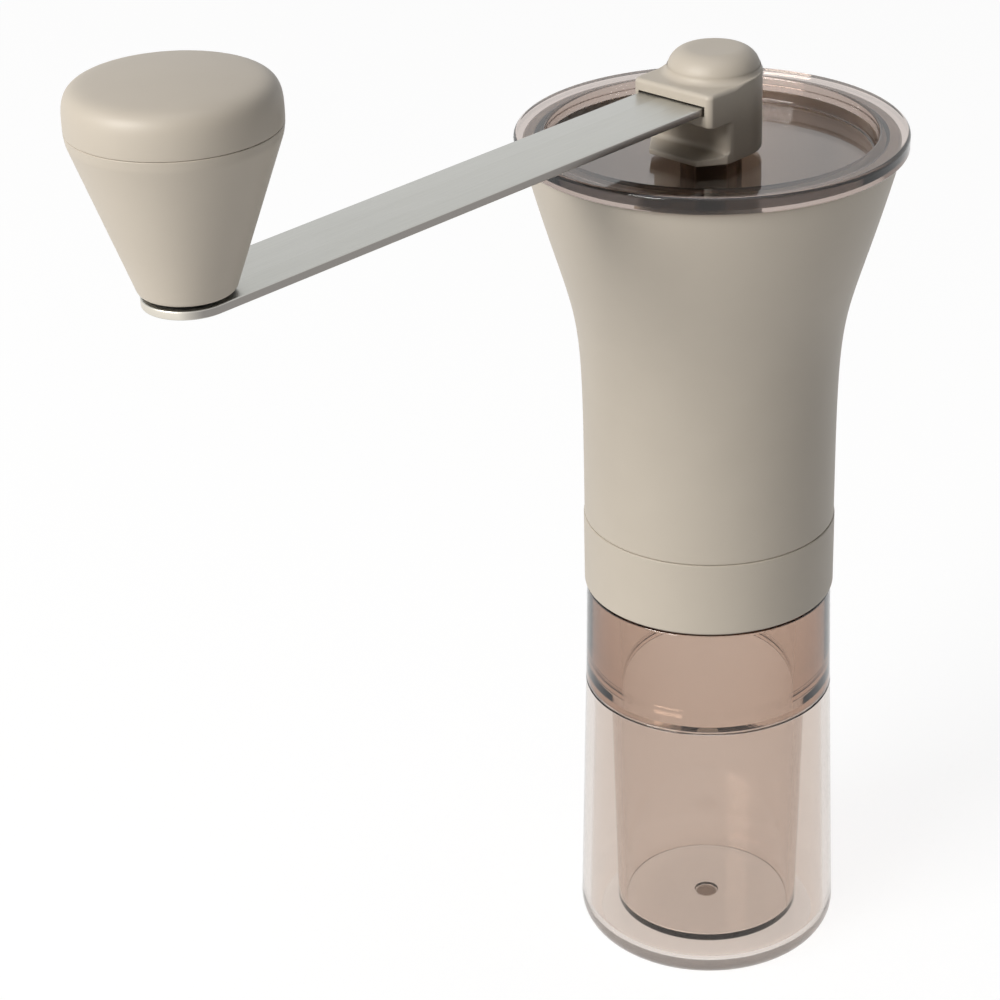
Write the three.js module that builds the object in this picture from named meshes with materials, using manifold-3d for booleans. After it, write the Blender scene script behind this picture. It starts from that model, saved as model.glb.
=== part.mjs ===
// Hand crank coffee grinder: a slim mill with a ceramic cone burr, a bean hopper above it and a
// double-walled grounds cup below it, turned by a removable crank. Millimetres, +Z up. The origin is the
// centre of the cup's flat base, the grinder's axis is Z, and the crank arm points along -X.

import * as THREE from 'three';
import { mergeVertices } from 'three/addons/utils/BufferGeometryUtils.js';
import Module from 'manifold-3d';

const wasm = await Module();
wasm.setup();

// ---------------------------------------------------------------- driving dimensions

// Facets round a full turn, for large and small pieces
const LARGE_FACETS = 32;
const SMALL_FACETS = 20;
const SCREW_FACETS = 12;
const ARC_STEPS = 3;

// How far a cut runs past the face that it opens, and a joined solid runs into the next
const overrun = 1;

// Clear outer shell of the cup
const baseFlatRadius = 22.1;
const footFillet = 5.4;
const shellTopRadius = 25.75;
const shellHeight = 60;
const shellWall = 2;
const shellFloor = 3.2;
const tongueHeight = 1;
const tongueWidth = 0.9;

// Inner grounds cup
const collarBottomRadius = 25.5;
const collarTopRadius = 25.25;
const collarHeight = 22.9;
const neckHeight = 11;
const neckWall = 1.6;
const ledgeDrop = 1.2;
const ledgeRise = 1.5;
const linerTopRadius = 20.5;
const linerBottomRadius = 19.3;
const linerWall = 1.8;
const linerFloor = 2;
const linerFloorGap = 1.6;
const linerEdgeRadius = 0.8;
const gateRadius = 2.6;
const gateDepth = 0.7;

// Seal between the cup and the burr housing
const sealThickness = 0.4;
const sealInset = 0.3;

// Burr housing
const ringRadius = 25.7;
const ringHeight = 15.7;
const ringWall = 1.5;
const ringEdge = 0.5;
const neckRoofGap = 1.4;
const spigotHeight = 7;
const spigotWall = 1.4;
const burrDeckThickness = 1.2;
const funnelLip = 14;

// Hopper body
const waistRadius = 25.54;
const waistRise = 10.8;
const waistHandle = 40.5;
const hopperLength = 78.8;
const rimRadius = 36.8;
const rimSlope = 0.26;
const rimHandle = 37.4;
const hopperWall = 2.5;
const rimRound = 0.8;
const lidRebateDepth = 3.8;
const bridgeRise = 10.8;
const bridgeHeight = 14;
const bridgeBossRadius = 6.6;
const bridgeArmThickness = 3;
const bridgeArmHeight = 8;
const bridgeArmCount = 3;

// Drive shaft
const shaftRadius = 3;
const shaftHexAcrossFlats = 5.1;
const hexAboveArm = 3;
const hexInset = 1.1;
const flatsWidth = 4.7;
const threadRadius = 2.3;
const threadLength = 9.5;
const clipGrooveDepth = 0.4;
const clipGrooveWidth = 1;

// Bushes, washers, clip and spring
const bushRadius = 4.6;
const bushFlangeRadius = 5.8;
const bushFlange = 1;
const bushLength = 5;
const washerThickness = 0.7;
const clipThickness = 0.8;
const clipRadius = 5;
const clipMouth = 3.4;
const springWire = 0.6;
const springRadius = 4.6;
const springTurns = 3.5;
const springWasherThickness = 0.8;

// Burrs and what carries them
const outerBurrRadius = 18;
const outerBurrHeight = 12;
const outerBurrMouth = 13.2;
const outerBurrThroat = 12.9;
const burrZoneHeight = 6.5;
const burrZoneSlope = 0.2;
const burrGap = 0.3;
const innerBurrTopRadius = 7;
const innerBurrRise = 4;
const innerBurrSkirt = 0.6;
const innerBurrBore = 4.4;
const retainerThickness = 2.1;
const retainerBore = 15.4;
const retainerScrewCount = 3;
const screwRadius = 0.9;
const screwHeadRadius = 1.7;
const screwHeadHeight = 0.9;
const screwLength = 6;
const carrierFlange = 1.6;
const carrierRadius = 9;
const carrierSleeveLength = 9;
const carrierKeyWidth = 3;
const carrierKeyHeight = 1.2;
const clickPlateThickness = 1.2;
const clickPlateRadius = 8.4;
const clickCount = 12;
const clickDepth = 0.5;
const nutHeight = 6.4;
const nutRadius = 8.5;
const nutLobes = 8;
const nutLobeDepth = 0.8;

// Lid
const lidOverhang = 1.4;
const lidFlange = 3.2;
const lidRimWidth = 5.9;
const lidDepth = 4.8;
const lidWall = 1.8;
const lidFloorThickness = 1.7;
const lidDraft = 0.6;
const lidTubeRadius = 6;
const lidTubeLength = 9;
const lidTubeRise = 0.5;
const lidEdge = 0.7;

// Crank
const crankRadius = 133.3;
const armWidth = 15.5;
const armThickness = 1.6;
const armRise = 7.3;
const hubBackRadius = 9.75;
const hubMouthReach = 12;
const hubMouthHalfWidth = 9.5;
const hubFootGap = 0.9;
const hubShelf = 2.4;
const hubJaw = 2.2;
const hubMouthCorner = 0.7;
const hubDomeHeight = 4.7;
const hubDomeRadius = 9;
const hubDomeRound = 4.2;
const hubDomeSetback = 0.7;
const hubNeckReach = 6.5;
const hubNeckCorner = 0.3;
const hubTongueReach = 11.5;
const hubTongueTaperLength = 4.8;
const hubTongueTaperWidth = 3.6;
const hubTongueEdge = 1.1;
const hubTongueRise = 0.6;
const hubTongueFillet = 0.9;

// Knob
const knobBottomGap = 0.75;
const knobFootRadius = 8.05;
const knobSeamRadius = 17.5;
const knobConeHeight = 27.95;
const knobShoulderHeight = 1.7;
const knobShoulderInset = 0.25;
const knobFootRound = 0.8;
const knobCapHeight = 8.3;
const knobCapSide = 0.4;
const knobCapRound = 5.7;
const knobCapSquareness = 4;
const knobCapCrown = 1.3;
const knobWall = 1.5;
const knobFloor = 2.4;
const knobTubeWall = 1.6;
const knobTubeHeight = 20;
const knobSpigotDepth = 3;
const knobSpigotWall = 1.4;
const axleRadius = 2;
const axleHeadRadius = 3.8;
const axleHeadHeight = 1.1;
const knobWasherRadius = 6.4;
const knobWasherThickness = 0.6;
const knobClipRadius = 4.6;
const knobClipThickness = 0.8;
const axleTip = 1;

// Clearances
const runningGap = 0.06;
const slideGap = 0.1;
const looseGap = 0.25;
const threadGap = 0.4;
const faceGap = 0.05;

// ---------------------------------------------------------------- heights and radii that follow

const collarBottom = shellHeight + faceGap;
const collarTop = collarBottom + collarHeight;
const neckRadius = ringRadius - ringWall - threadGap;
const neckBore = neckRadius - neckWall;
const neckTop = collarTop + neckHeight;
const sealBottom = collarTop + faceGap;
const housingBottom = sealBottom + sealThickness + faceGap;
const seamHeight = housingBottom + ringHeight;
const seatRadius = outerBurrRadius + slideGap;
const seatWallRadius = neckBore - threadGap;
const burrTop = seamHeight - burrDeckThickness - faceGap;
const burrBottom = burrTop - outerBurrHeight;
const hopperBottom = seamHeight + faceGap;
const hopperTop = hopperBottom + hopperLength;
const waistTop = hopperBottom + waistRise;
const hopperBore = waistRadius - hopperWall;
const spigotRadius = hopperBore - looseGap;
const spigotTop = seamHeight + spigotHeight;
const bridgeBottom = hopperBottom + bridgeRise;
const bridgeTop = bridgeBottom + bridgeHeight;
const bushBore = shaftRadius + runningGap;
const lowerBushFace = bridgeBottom - faceGap - bushFlange;
const upperBushFace = bridgeTop + faceGap + bushFlange;
const thrustBottom = upperBushFace + faceGap;
const clipBottom = thrustBottom + washerThickness + faceGap;
const innerBurrBottom = burrBottom - innerBurrSkirt;
const innerBurrTop = burrTop + innerBurrRise;
const springWasherBottom = innerBurrTop + faceGap;
const springBottom = springWasherBottom + springWasherThickness + faceGap;
const carrierBottom = innerBurrBottom - faceGap - carrierFlange;
const clickPlateBottom = carrierBottom - faceGap - clickPlateThickness;
const nutTop = clickPlateBottom - faceGap;
const nutBottom = nutTop - nutHeight;
const threadTop = nutTop + faceGap;
const shaftBottom = threadTop - threadLength;
const carrierSleeveRadius = innerBurrBore - slideGap;
const lidBottom = hopperTop + 2 * faceGap;
const lidTop = lidBottom + lidFlange;
const lidFloorTop = lidTop - lidDepth;
const lidFloorBottom = lidFloorTop - lidFloorThickness;
const lidRadius = rimRadius + lidOverhang;
const lidRecessRadius = lidRadius - lidRimWidth;
const lidSkirtRadius = lidRecessRadius + lidWall;
const lidRebateRadius = lidSkirtRadius + looseGap;
const lidTubeTop = lidFloorTop + lidTubeRise;
const armUnderside = lidTop + armRise;
const armTop = armUnderside + armThickness;
const hubShelfTop = armTop + slideGap + hubShelf;
const hubJawBottom = armUnderside - slideGap - hubJaw;
const hubBottom = lidTubeTop + hubFootGap;
const hexBottom = hubBottom + hexInset;
const shaftTop = armTop + hexAboveArm;
const knobBottom = armTop + knobBottomGap;
const knobSeam = knobBottom + knobConeHeight;
const hexRadius = shaftHexAcrossFlats / Math.sqrt(3);
const axleBore = axleRadius + runningGap;
const knobTubeTop = knobBottom + knobTubeHeight;
const knobClipBottom = knobTubeTop + slideGap;

// ---------------------------------------------------------------- geometry helpers

/** Puts triangles given by rows of vertex numbers into a plain geometry. */
function bareGeometry(positions, triangles) {
  const geometry = new THREE.BufferGeometry();
  geometry.setAttribute('position', new THREE.Float32BufferAttribute(positions, 3));
  geometry.setIndex(triangles);
  return geometry;
}

/** Merges shared vertices and drops the triangles that a profile's ends flatten at the axis. */
function closed(geometry) {
  const bare = geometry.clone();
  bare.deleteAttribute('normal');
  bare.deleteAttribute('uv');
  const merged = mergeVertices(bare, 1e-4);
  const index = merged.getIndex().array;
  const kept = [];
  for (let i = 0; i < index.length; i += 3) {
    const [a, b, c] = index.slice(i, i + 3);
    if (a !== b && b !== c && c !== a) kept.push(a, b, c);
  }
  return bareGeometry(merged.getAttribute('position').array, kept);
}

/** Turns a closed three.js geometry into a solid that can be cut and joined. */
function toSolid(geometry) {
  const body = closed(geometry);
  const vertProperties = new Float32Array(body.getAttribute('position').array);
  const triVerts = new Uint32Array(body.getIndex().array);
  return new wasm.Manifold(new wasm.Mesh({ numProp: 3, vertProperties, triVerts }));
}

/** Turns a solid back into a geometry. */
function fromSolid(solid) {
  const { vertProperties, triVerts } = solid.getMesh();
  return bareGeometry(Array.from(vertProperties), Array.from(triVerts));
}

/** Revolves [radius, height] points, listed counter-clockwise, about Z. */
function turned(profile, facets = LARGE_FACETS) {
  const points = profile.map(([radius, height]) => new THREE.Vector2(radius, height));
  return closed(new THREE.LatheGeometry(points, facets).rotateX(Math.PI / 2));
}

/** A ring, tube or disc between two heights. */
function ring(outer, inner, bottom, top, facets = SMALL_FACETS) {
  const outline = [[inner, bottom], [outer, bottom], [outer, top], [inner, top]];
  if (inner > 0) outline.push([inner, bottom]);
  return turned(outline, facets);
}

/** Points of a quarter arc in a profile, from one angle to another in degrees. */
function arc(radius, height, size, from, to, steps = ARC_STEPS) {
  return Array.from({ length: steps + 1 }, (_, i) => {
    const angle = THREE.MathUtils.degToRad(from + ((to - from) * i) / steps);
    return [radius + size * Math.cos(angle), height + size * Math.sin(angle)];
  });
}

/** Extrudes a flat outline upwards from a height. */
function extruded(shape, bottom, height, curveSegments = 8) {
  const options = { depth: height, bevelEnabled: false, curveSegments };
  return closed(new THREE.ExtrudeGeometry(shape, options).translate(0, 0, bottom));
}

/** Joins outlines with the same number of points, listed upwards with their heights, into a closed body. */
function lofted(levels) {
  const positions = [];
  const triangles = [];
  const count = levels[0].outline.length;
  levels.forEach(({ outline, height }) => outline.forEach(({ x, y }) => positions.push(x, y, height)));
  for (let start = 0; start < (levels.length - 1) * count; start += count) {
    for (let i = 0; i < count; i += 1) {
      const a = start + i;
      const b = start + ((i + 1) % count);
      triangles.push(a, b, b + count, a, b + count, a + count);
    }
  }
  const top = (levels.length - 1) * count;
  for (let i = 1; i < count - 1; i += 1) {
    triangles.push(0, i + 1, i, top, top + i, top + i + 1);
  }
  return bareGeometry(positions, triangles);
}

/** A box by its middle in plan, its size in plan and its two heights. */
function block(x, y, lengthX, widthY, bottom, top) {
  const box = new THREE.BoxGeometry(lengthX, widthY, top - bottom);
  return box.translate(x, y, (bottom + top) / 2);
}

/** A rod of regular section, from its radius at the corners and its number of sides. */
function prism(radius, sides, bottom, top) {
  const rod = new THREE.CylinderGeometry(radius, radius, top - bottom, sides);
  return rod.rotateX(Math.PI / 2).translate(0, 0, (bottom + top) / 2);
}

/** A round cut on the axis that runs past both of its ends. */
function boreSolid(radius, bottom, top) {
  return toSolid(ring(radius, 0, bottom - overrun, top + overrun));
}

/** The solid that a shaft with two flats fills, between two heights. */
function twoFlatRod(gap, bottom, top) {
  const round = toSolid(ring(shaftRadius + gap, 0, bottom, top));
  const slab = toSolid(block(0, 0, 2 * (shaftRadius + overrun), flatsWidth + 2 * gap, bottom, top));
  return round.intersect(slab);
}

/** Copies of a solid turned evenly about Z and joined. */
function aroundAxis(count, makeSolid) {
  let joined = makeSolid();
  for (let i = 1; i < count; i += 1) {
    joined = joined.add(makeSolid().rotate([0, 0, (360 * i) / count]));
  }
  return joined;
}

const model = new THREE.Group();

/** Adds a named piece with its colour and finish. */
function add(name, geometry, color, roughness, metalness = 0) {
  const material = new THREE.MeshStandardMaterial({ color, roughness, metalness });
  const mesh = new THREE.Mesh(geometry, material);
  mesh.name = name;
  model.add(mesh);
}

const BEIGE = '#b9af9d';
const SMOKE = '#8a6f62';
const CLEAR = '#ddd6cf';
const STEEL = '#b4b4b0';
const CERAMIC = '#ece9e2';
const BLACK = '#2e2b29';

// ---------------------------------------------------------------- grounds cup

/** Clear shell: a flat foot, a rounded heel, a wall that narrows upwards, and a tongue on its top edge. */
function makeOuterCup() {
  const innerTop = shellTopRadius - shellWall;
  const innerBottom = baseFlatRadius + footFillet - shellWall;
  const innerFillet = footFillet - shellWall;
  return turned([
    [0, 0],
    ...arc(baseFlatRadius, footFillet, footFillet, -90, 0, 4),
    [shellTopRadius, shellHeight],
    [innerTop + tongueWidth, shellHeight],
    [innerTop + tongueWidth, shellHeight + tongueHeight],
    [innerTop, shellHeight + tongueHeight],
    ...arc(innerBottom - innerFillet, shellFloor + innerFillet, innerFillet, 0, -90),
    [0, shellFloor],
  ]);
}

/** Grounds cup: a solid collar that stands on the shell, a neck above it and a narrow cup in the shell. */
function makeInnerCup() {
  const grooveInner = shellTopRadius - shellWall - slideGap;
  const grooveOuter = shellTopRadius - shellWall + tongueWidth + slideGap;
  const grooveTop = shellHeight + tongueHeight + slideGap;
  const bottom = shellFloor + linerFloorGap;
  const floorTop = bottom + linerFloor;
  const linerBore = linerTopRadius - linerWall;
  const ledge = collarTop - ledgeDrop;
  return turned([
    [0, bottom],
    ...arc(linerBottomRadius - linerEdgeRadius, bottom + linerEdgeRadius, linerEdgeRadius, -90, 0, 2),
    [linerTopRadius, collarBottom],
    [grooveInner, collarBottom],
    [grooveInner, grooveTop],
    [grooveOuter, grooveTop],
    [grooveOuter, collarBottom],
    [collarBottomRadius, collarBottom],
    [collarTopRadius, collarTop],
    [neckRadius, collarTop],
    [neckRadius, neckTop],
    [neckBore, neckTop],
    [neckBore, ledge + ledgeRise],
    [linerBore, ledge],
    [linerBottomRadius - linerWall, floorTop],
    [gateRadius, floorTop],
    [gateRadius, floorTop - gateDepth],
    [0, floorTop - gateDepth],
  ]);
}

add('outer_cup', makeOuterCup(), CLEAR, 0.05);
add('inner_cup', makeInnerCup(), SMOKE, 0.08);

const sealOuter = collarTopRadius - sealInset;
const sealTop = sealBottom + sealThickness;
add('cup_seal', ring(sealOuter, neckRadius + slideGap, sealBottom, sealTop, LARGE_FACETS), BLACK, 0.7);

// ---------------------------------------------------------------- burr housing

/** Where the retainer's screws stand, as a radius from the axis. */
const screwCircle = (seatRadius + seatWallRadius) / 2;
const retainerTop = burrBottom - faceGap;
const retainerBottom = retainerTop - retainerThickness;

/** Copies of one screw-shaped solid at the screw places. */
function atScrews(geometry) {
  return aroundAxis(retainerScrewCount, () => toSolid(geometry.clone().translate(screwCircle, 0, 0)));
}

/** Housing: a skirt over the cup's neck, a seat for the outer burr and a funnel that leads beans to it. */
function makeBurrHousing() {
  const skirtBore = ringRadius - ringWall;
  const neckRoof = neckTop + neckRoofGap;
  const funnelTop = spigotRadius - spigotWall;
  const body = turned([
    [skirtBore, housingBottom],
    [ringRadius - ringEdge, housingBottom],
    [ringRadius, housingBottom + ringEdge],
    [ringRadius, seamHeight],
    [spigotRadius, seamHeight],
    [spigotRadius, spigotTop],
    [funnelTop, spigotTop],
    [funnelLip, seamHeight],
    [funnelLip, burrTop + faceGap],
    [seatRadius, burrTop + faceGap],
    [seatRadius, burrBottom],
    [seatWallRadius, burrBottom],
    [seatWallRadius, neckRoof],
    [skirtBore, neckRoof],
    [skirtBore, housingBottom],
  ]);
  const hole = ring(screwRadius + slideGap, 0, burrBottom - overrun, burrBottom + screwLength, SCREW_FACETS);
  return fromSolid(toSolid(body).subtract(atScrews(hole)));
}

/** Ring burr: a wide mouth at the top and a grinding zone that opens downwards at the bottom. */
function makeOuterBurr() {
  const zoneTop = burrBottom + burrZoneHeight;
  return turned([
    [outerBurrThroat + burrZoneSlope * burrZoneHeight, burrBottom],
    [outerBurrRadius, burrBottom],
    [outerBurrRadius, burrTop],
    [outerBurrMouth, burrTop],
    [outerBurrThroat, zoneTop],
    [outerBurrThroat + burrZoneSlope * burrZoneHeight, burrBottom],
  ]);
}

/** Ring that holds the outer burr up in its seat, with a hole for each screw. */
function makeBurrRetainer() {
  const body = ring(seatWallRadius, retainerBore, retainerBottom, retainerTop, LARGE_FACETS);
  const below = retainerBottom - overrun;
  const hole = ring(screwRadius + slideGap, 0, below, retainerTop + overrun, SCREW_FACETS);
  const sink = ring(screwHeadRadius + slideGap, 0, below, retainerBottom + screwHeadHeight, SCREW_FACETS);
  return fromSolid(toSolid(body).subtract(atScrews(hole)).subtract(atScrews(sink)));
}

/** Cheese-head screw, pointing up into the housing. */
function makeRetainerScrew(angle) {
  const headTop = retainerBottom + screwHeadHeight - faceGap;
  const screw = turned([
    [0, headTop - screwHeadHeight],
    [screwHeadRadius, headTop - screwHeadHeight],
    [screwHeadRadius, headTop],
    [screwRadius, headTop],
    [screwRadius, burrBottom + screwLength - slideGap],
    [0, burrBottom + screwLength - slideGap],
  ], SCREW_FACETS);
  return screw.translate(screwCircle, 0, 0).rotateZ(angle);
}

add('burr_housing', makeBurrHousing(), BEIGE, 0.45);
add('outer_burr', makeOuterBurr(), CERAMIC, 0.4);
add('burr_retainer', makeBurrRetainer(), BLACK, 0.5);
for (let i = 0; i < retainerScrewCount; i += 1) {
  const angle = (2 * Math.PI * i) / retainerScrewCount;
  add(`retainer_screw_${i + 1}`, makeRetainerScrew(angle), STEEL, 0.3, 1);
}

// ---------------------------------------------------------------- hopper body

/** The hopper's outside from its waist to its rim, as one smooth curve of radius against height. */
const flare = new THREE.CubicBezierCurve(
  new THREE.Vector2(waistRadius, waistTop),
  new THREE.Vector2(waistRadius, waistTop + waistHandle),
  new THREE.Vector2(rimRadius - rimSlope * rimHandle, hopperTop - rimHandle),
  new THREE.Vector2(rimRadius, hopperTop),
);

const FLARE_SAMPLES = 200;
const FLARE_STEPS = 9;
const lidRebateBottom = hopperTop - lidRebateDepth;

/** Radius of the flare at a height, from finely stepped points. */
function flareRadius(height) {
  const points = flare.getPoints(FLARE_SAMPLES);
  const next = points.findIndex((point) => point.y >= height);
  if (next < 1) return height <= waistTop ? waistRadius : rimRadius;
  const [low, high] = [points[next - 1], points[next]];
  return THREE.MathUtils.mapLinear(height, low.y, high.y, low.x, high.x);
}

/** Hopper: a thin flared wall with a rebate for the lid, open at both ends. */
function hopperWallGeometry() {
  const outside = flare.getPoints(FLARE_STEPS).map((point) => [point.x, point.y]);
  const rim = outside.pop();
  const inside = outside
    .filter(([, height]) => height < lidRebateBottom - hopperWall)
    .map(([radius, height]) => [radius - hopperWall, height])
    .reverse();
  return turned([
    [hopperBore, hopperBottom],
    [waistRadius, hopperBottom],
    ...outside,
    ...arc(rim[0] - rimRound, hopperTop - rimRound, rimRound, 0, 90, 2),
    [lidRebateRadius, hopperTop],
    [lidRebateRadius, lidRebateBottom],
    [flareRadius(lidRebateBottom) - hopperWall, lidRebateBottom],
    ...inside,
    [hopperBore, hopperBottom],
  ]);
}

/** Bridge: a boss on the axis for the two bushes, on arms that reach into the hopper's wall. */
function bridgeSolid() {
  const armTopHeight = bridgeTop - (bridgeHeight - bridgeArmHeight) / 2;
  const reach = waistRadius - hopperWall / 2;
  const arms = aroundAxis(bridgeArmCount, () => toSolid(
    block(reach / 2, 0, reach, bridgeArmThickness, armTopHeight - bridgeArmHeight, armTopHeight),
  ));
  const boss = toSolid(ring(bridgeBossRadius, 0, bridgeBottom, bridgeTop));
  const relief = boreSolid(shaftRadius + looseGap, bridgeBottom, bridgeTop);
  const seatDepth = bushLength + slideGap;
  const lowerSeat = boreSolid(bushRadius + slideGap, bridgeBottom, bridgeBottom + seatDepth - overrun);
  const upperSeat = boreSolid(bushRadius + slideGap, bridgeTop - seatDepth + overrun, bridgeTop);
  return arms.add(boss).subtract(relief).subtract(lowerSeat).subtract(upperSeat);
}

/** A flanged bush; its sleeve points away from the flange's outer face. */
function makeBush(face, direction) {
  const neck = face + direction * bushFlange;
  const tip = neck + direction * bushLength;
  const outline = [
    [bushBore, face],
    [bushFlangeRadius, face],
    [bushFlangeRadius, neck],
    [bushRadius, neck],
    [bushRadius, tip],
    [bushBore, tip],
    [bushBore, face],
  ];
  return turned(direction > 0 ? outline : outline.reverse(), SMALL_FACETS);
}

add('hopper_body', fromSolid(toSolid(hopperWallGeometry()).add(bridgeSolid())), BEIGE, 0.45);
add('lower_bush', makeBush(lowerBushFace, 1), BLACK, 0.4);
add('upper_bush', makeBush(upperBushFace, -1), BLACK, 0.4);

// ---------------------------------------------------------------- shaft and burr drive

/** Shaft: thread at the bottom, two flats through the burr, a clip groove, and a hexagon for the crank. */
function makeDriveShaft() {
  const flatsTop = springBottom;
  const grooveTop = clipBottom + clipGrooveWidth;
  const core = shaftRadius - clipGrooveDepth;
  const thread = toSolid(ring(threadRadius, 0, shaftBottom, threadTop + overrun));
  const flats = twoFlatRod(0, threadTop, flatsTop + overrun);
  const rod = toSolid(turned([
    [0, flatsTop],
    [shaftRadius, flatsTop],
    [shaftRadius, clipBottom],
    [core, clipBottom],
    [core, grooveTop],
    [shaftRadius, grooveTop],
    [shaftRadius, hexBottom],
    [0, hexBottom],
  ], SMALL_FACETS));
  const hexagon = toSolid(prism(hexRadius, 6, hexBottom - overrun, shaftTop));
  return fromSolid(thread.add(flats).add(rod).add(hexagon));
}

/** Open retaining ring in the shaft's groove. */
function makeShaftClip() {
  const bore = shaftRadius - clipGrooveDepth + slideGap;
  const body = toSolid(ring(clipRadius, bore, clipBottom, clipBottom + clipThickness));
  const mouthBottom = clipBottom - overrun;
  const mouthTop = clipBottom + clipThickness + overrun;
  const mouth = toSolid(block(clipRadius, 0, 2 * clipRadius, clipMouth, mouthBottom, mouthTop));
  return fromSolid(body.subtract(mouth));
}

/** The middle line of the spring: a helix with a step every thirty degrees. */
class SpringLine extends THREE.Curve {
  getPoint(t, target = new THREE.Vector3()) {
    const bottom = springBottom + springWire;
    const top = lowerBushFace - faceGap - springWire;
    const angle = 2 * Math.PI * springTurns * t;
    const height = bottom + (top - bottom) * t;
    return target.set(springRadius * Math.cos(angle), springRadius * Math.sin(angle), height);
  }
}

function makeSpring() {
  const section = new THREE.Shape().absarc(0, 0, springWire, 0, 2 * Math.PI);
  const options = { steps: Math.round(12 * springTurns), extrudePath: new SpringLine(), curveSegments: 3 };
  return closed(new THREE.ExtrudeGeometry(section, options));
}

/** Cone burr: steep above, with a grinding zone and a short skirt below, and slots for the carrier's keys. */
function makeInnerBurr() {
  const zoneTop = burrBottom + burrZoneHeight;
  const zoneRadius = outerBurrThroat - burrGap;
  const skirtRadius = zoneRadius + burrZoneSlope * burrZoneHeight;
  const cone = turned([
    [innerBurrBore, innerBurrBottom],
    [skirtRadius, innerBurrBottom],
    [skirtRadius, burrBottom],
    [zoneRadius, zoneTop],
    [innerBurrTopRadius, innerBurrTop],
    [innerBurrBore, innerBurrTop],
    [innerBurrBore, innerBurrBottom],
  ]);
  const slot = block(0, 0, 2 * carrierRadius + 2 * slideGap, carrierKeyWidth + 2 * slideGap,
    innerBurrBottom - overrun, innerBurrBottom + carrierKeyHeight + slideGap);
  return fromSolid(toSolid(cone).subtract(toSolid(slot)));
}

/** Carrier: a flange under the burr with keys into its slots, and a sleeve up its bore. */
function makeBurrCarrier() {
  const flangeTop = carrierBottom + carrierFlange;
  const sleeveTop = flangeTop + carrierSleeveLength;
  const flange = toSolid(ring(carrierRadius, 0, carrierBottom, flangeTop));
  const sleeve = toSolid(ring(carrierSleeveRadius, 0, carrierBottom, sleeveTop));
  const keyTop = innerBurrBottom + carrierKeyHeight;
  const bar = toSolid(block(0, 0, 2 * carrierRadius, carrierKeyWidth, flangeTop - overrun, keyTop));
  const keys = bar.intersect(toSolid(ring(carrierRadius, 0, carrierBottom, keyTop)));
  const bore = twoFlatRod(runningGap, carrierBottom - overrun, sleeveTop + overrun);
  return fromSolid(flange.add(sleeve).add(keys).subtract(bore));
}

/** A round plate whose rim waves in and out a number of times. */
function wavyShape(radius, depth, waves) {
  const points = [];
  const count = waves * 4;
  for (let i = 0; i < count; i += 1) {
    const angle = (2 * Math.PI * i) / count;
    const reach = radius - (depth * (1 - Math.cos(waves * angle))) / 2;
    points.push(new THREE.Vector2(reach * Math.cos(angle), reach * Math.sin(angle)));
  }
  return new THREE.Shape(points);
}

function makeClickPlate() {
  const plate = toSolid(extruded(wavyShape(clickPlateRadius, clickDepth, clickCount), clickPlateBottom,
    clickPlateThickness));
  const plateTop = clickPlateBottom + clickPlateThickness;
  return fromSolid(plate.subtract(twoFlatRod(runningGap, clickPlateBottom - overrun, plateTop + overrun)));
}

function makeAdjustNut() {
  const body = toSolid(extruded(wavyShape(nutRadius, nutLobeDepth, nutLobes), nutBottom, nutHeight));
  return fromSolid(body.subtract(boreSolid(threadRadius + runningGap, nutBottom, nutTop)));
}

/** A flat washer that the shaft passes through. */
function makeWasher(outer, bottom, thickness) {
  return ring(outer, bushBore, bottom, bottom + thickness);
}

add('drive_shaft', makeDriveShaft(), STEEL, 0.3, 1);
add('shaft_clip', makeShaftClip(), STEEL, 0.35, 1);
add('thrust_washer', makeWasher(bushFlangeRadius, thrustBottom, washerThickness), STEEL, 0.35, 1);
add('spring', makeSpring(), STEEL, 0.3, 1);
const spacerRadius = springRadius + 2 * springWire;
add('spring_washer', makeWasher(spacerRadius, springWasherBottom, springWasherThickness), STEEL, 0.35, 1);
add('inner_burr', makeInnerBurr(), CERAMIC, 0.4);
add('burr_carrier', makeBurrCarrier(), BLACK, 0.5);
add('click_plate', makeClickPlate(), STEEL, 0.35, 1);
add('adjust_nut', makeAdjustNut(), BLACK, 0.5);

// ---------------------------------------------------------------- lid

/** Lid: a flat rim on the hopper's edge, a dished floor, and a tube that guides the shaft. */
function makeLid() {
  const tubeBore = shaftRadius + looseGap;
  const tubeBottom = lidFloorBottom - lidTubeLength;
  const floorRadius = lidRecessRadius - lidDraft;
  return turned([
    [tubeBore, tubeBottom],
    [lidTubeRadius, tubeBottom],
    [lidTubeRadius, lidFloorBottom],
    [lidSkirtRadius - lidEdge, lidFloorBottom],
    [lidSkirtRadius, lidFloorBottom + lidEdge],
    [lidSkirtRadius, lidBottom],
    [lidRadius - lidEdge / 2, lidBottom],
    ...arc(lidRadius - lidEdge, lidTop - lidEdge, lidEdge, 0, 90, 2),
    [lidRecessRadius + lidEdge / 2, lidTop],
    [lidRecessRadius, lidTop - lidEdge / 2],
    [floorRadius, lidFloorTop + lidEdge],
    [floorRadius - lidEdge, lidFloorTop],
    [lidTubeRadius, lidFloorTop],
    [lidTubeRadius, lidTubeTop],
    [tubeBore, lidTubeTop],
    [tubeBore, tubeBottom],
  ]);
}

add('lid', makeLid(), SMOKE, 0.05);

// ---------------------------------------------------------------- crank

/** The arm's outline with round ends, grown by a gap on every side. */
function armShape(gap) {
  const half = armWidth / 2 + gap;
  const shape = new THREE.Shape();
  shape.moveTo(0, -half);
  shape.absarc(0, 0, half, -Math.PI / 2, Math.PI / 2, false);
  shape.lineTo(-crankRadius, half);
  shape.absarc(-crankRadius, 0, half, Math.PI / 2, (3 * Math.PI) / 2, false);
  shape.closePath();
  return shape;
}

const hexSocketRadius = hexRadius + slideGap;

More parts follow.
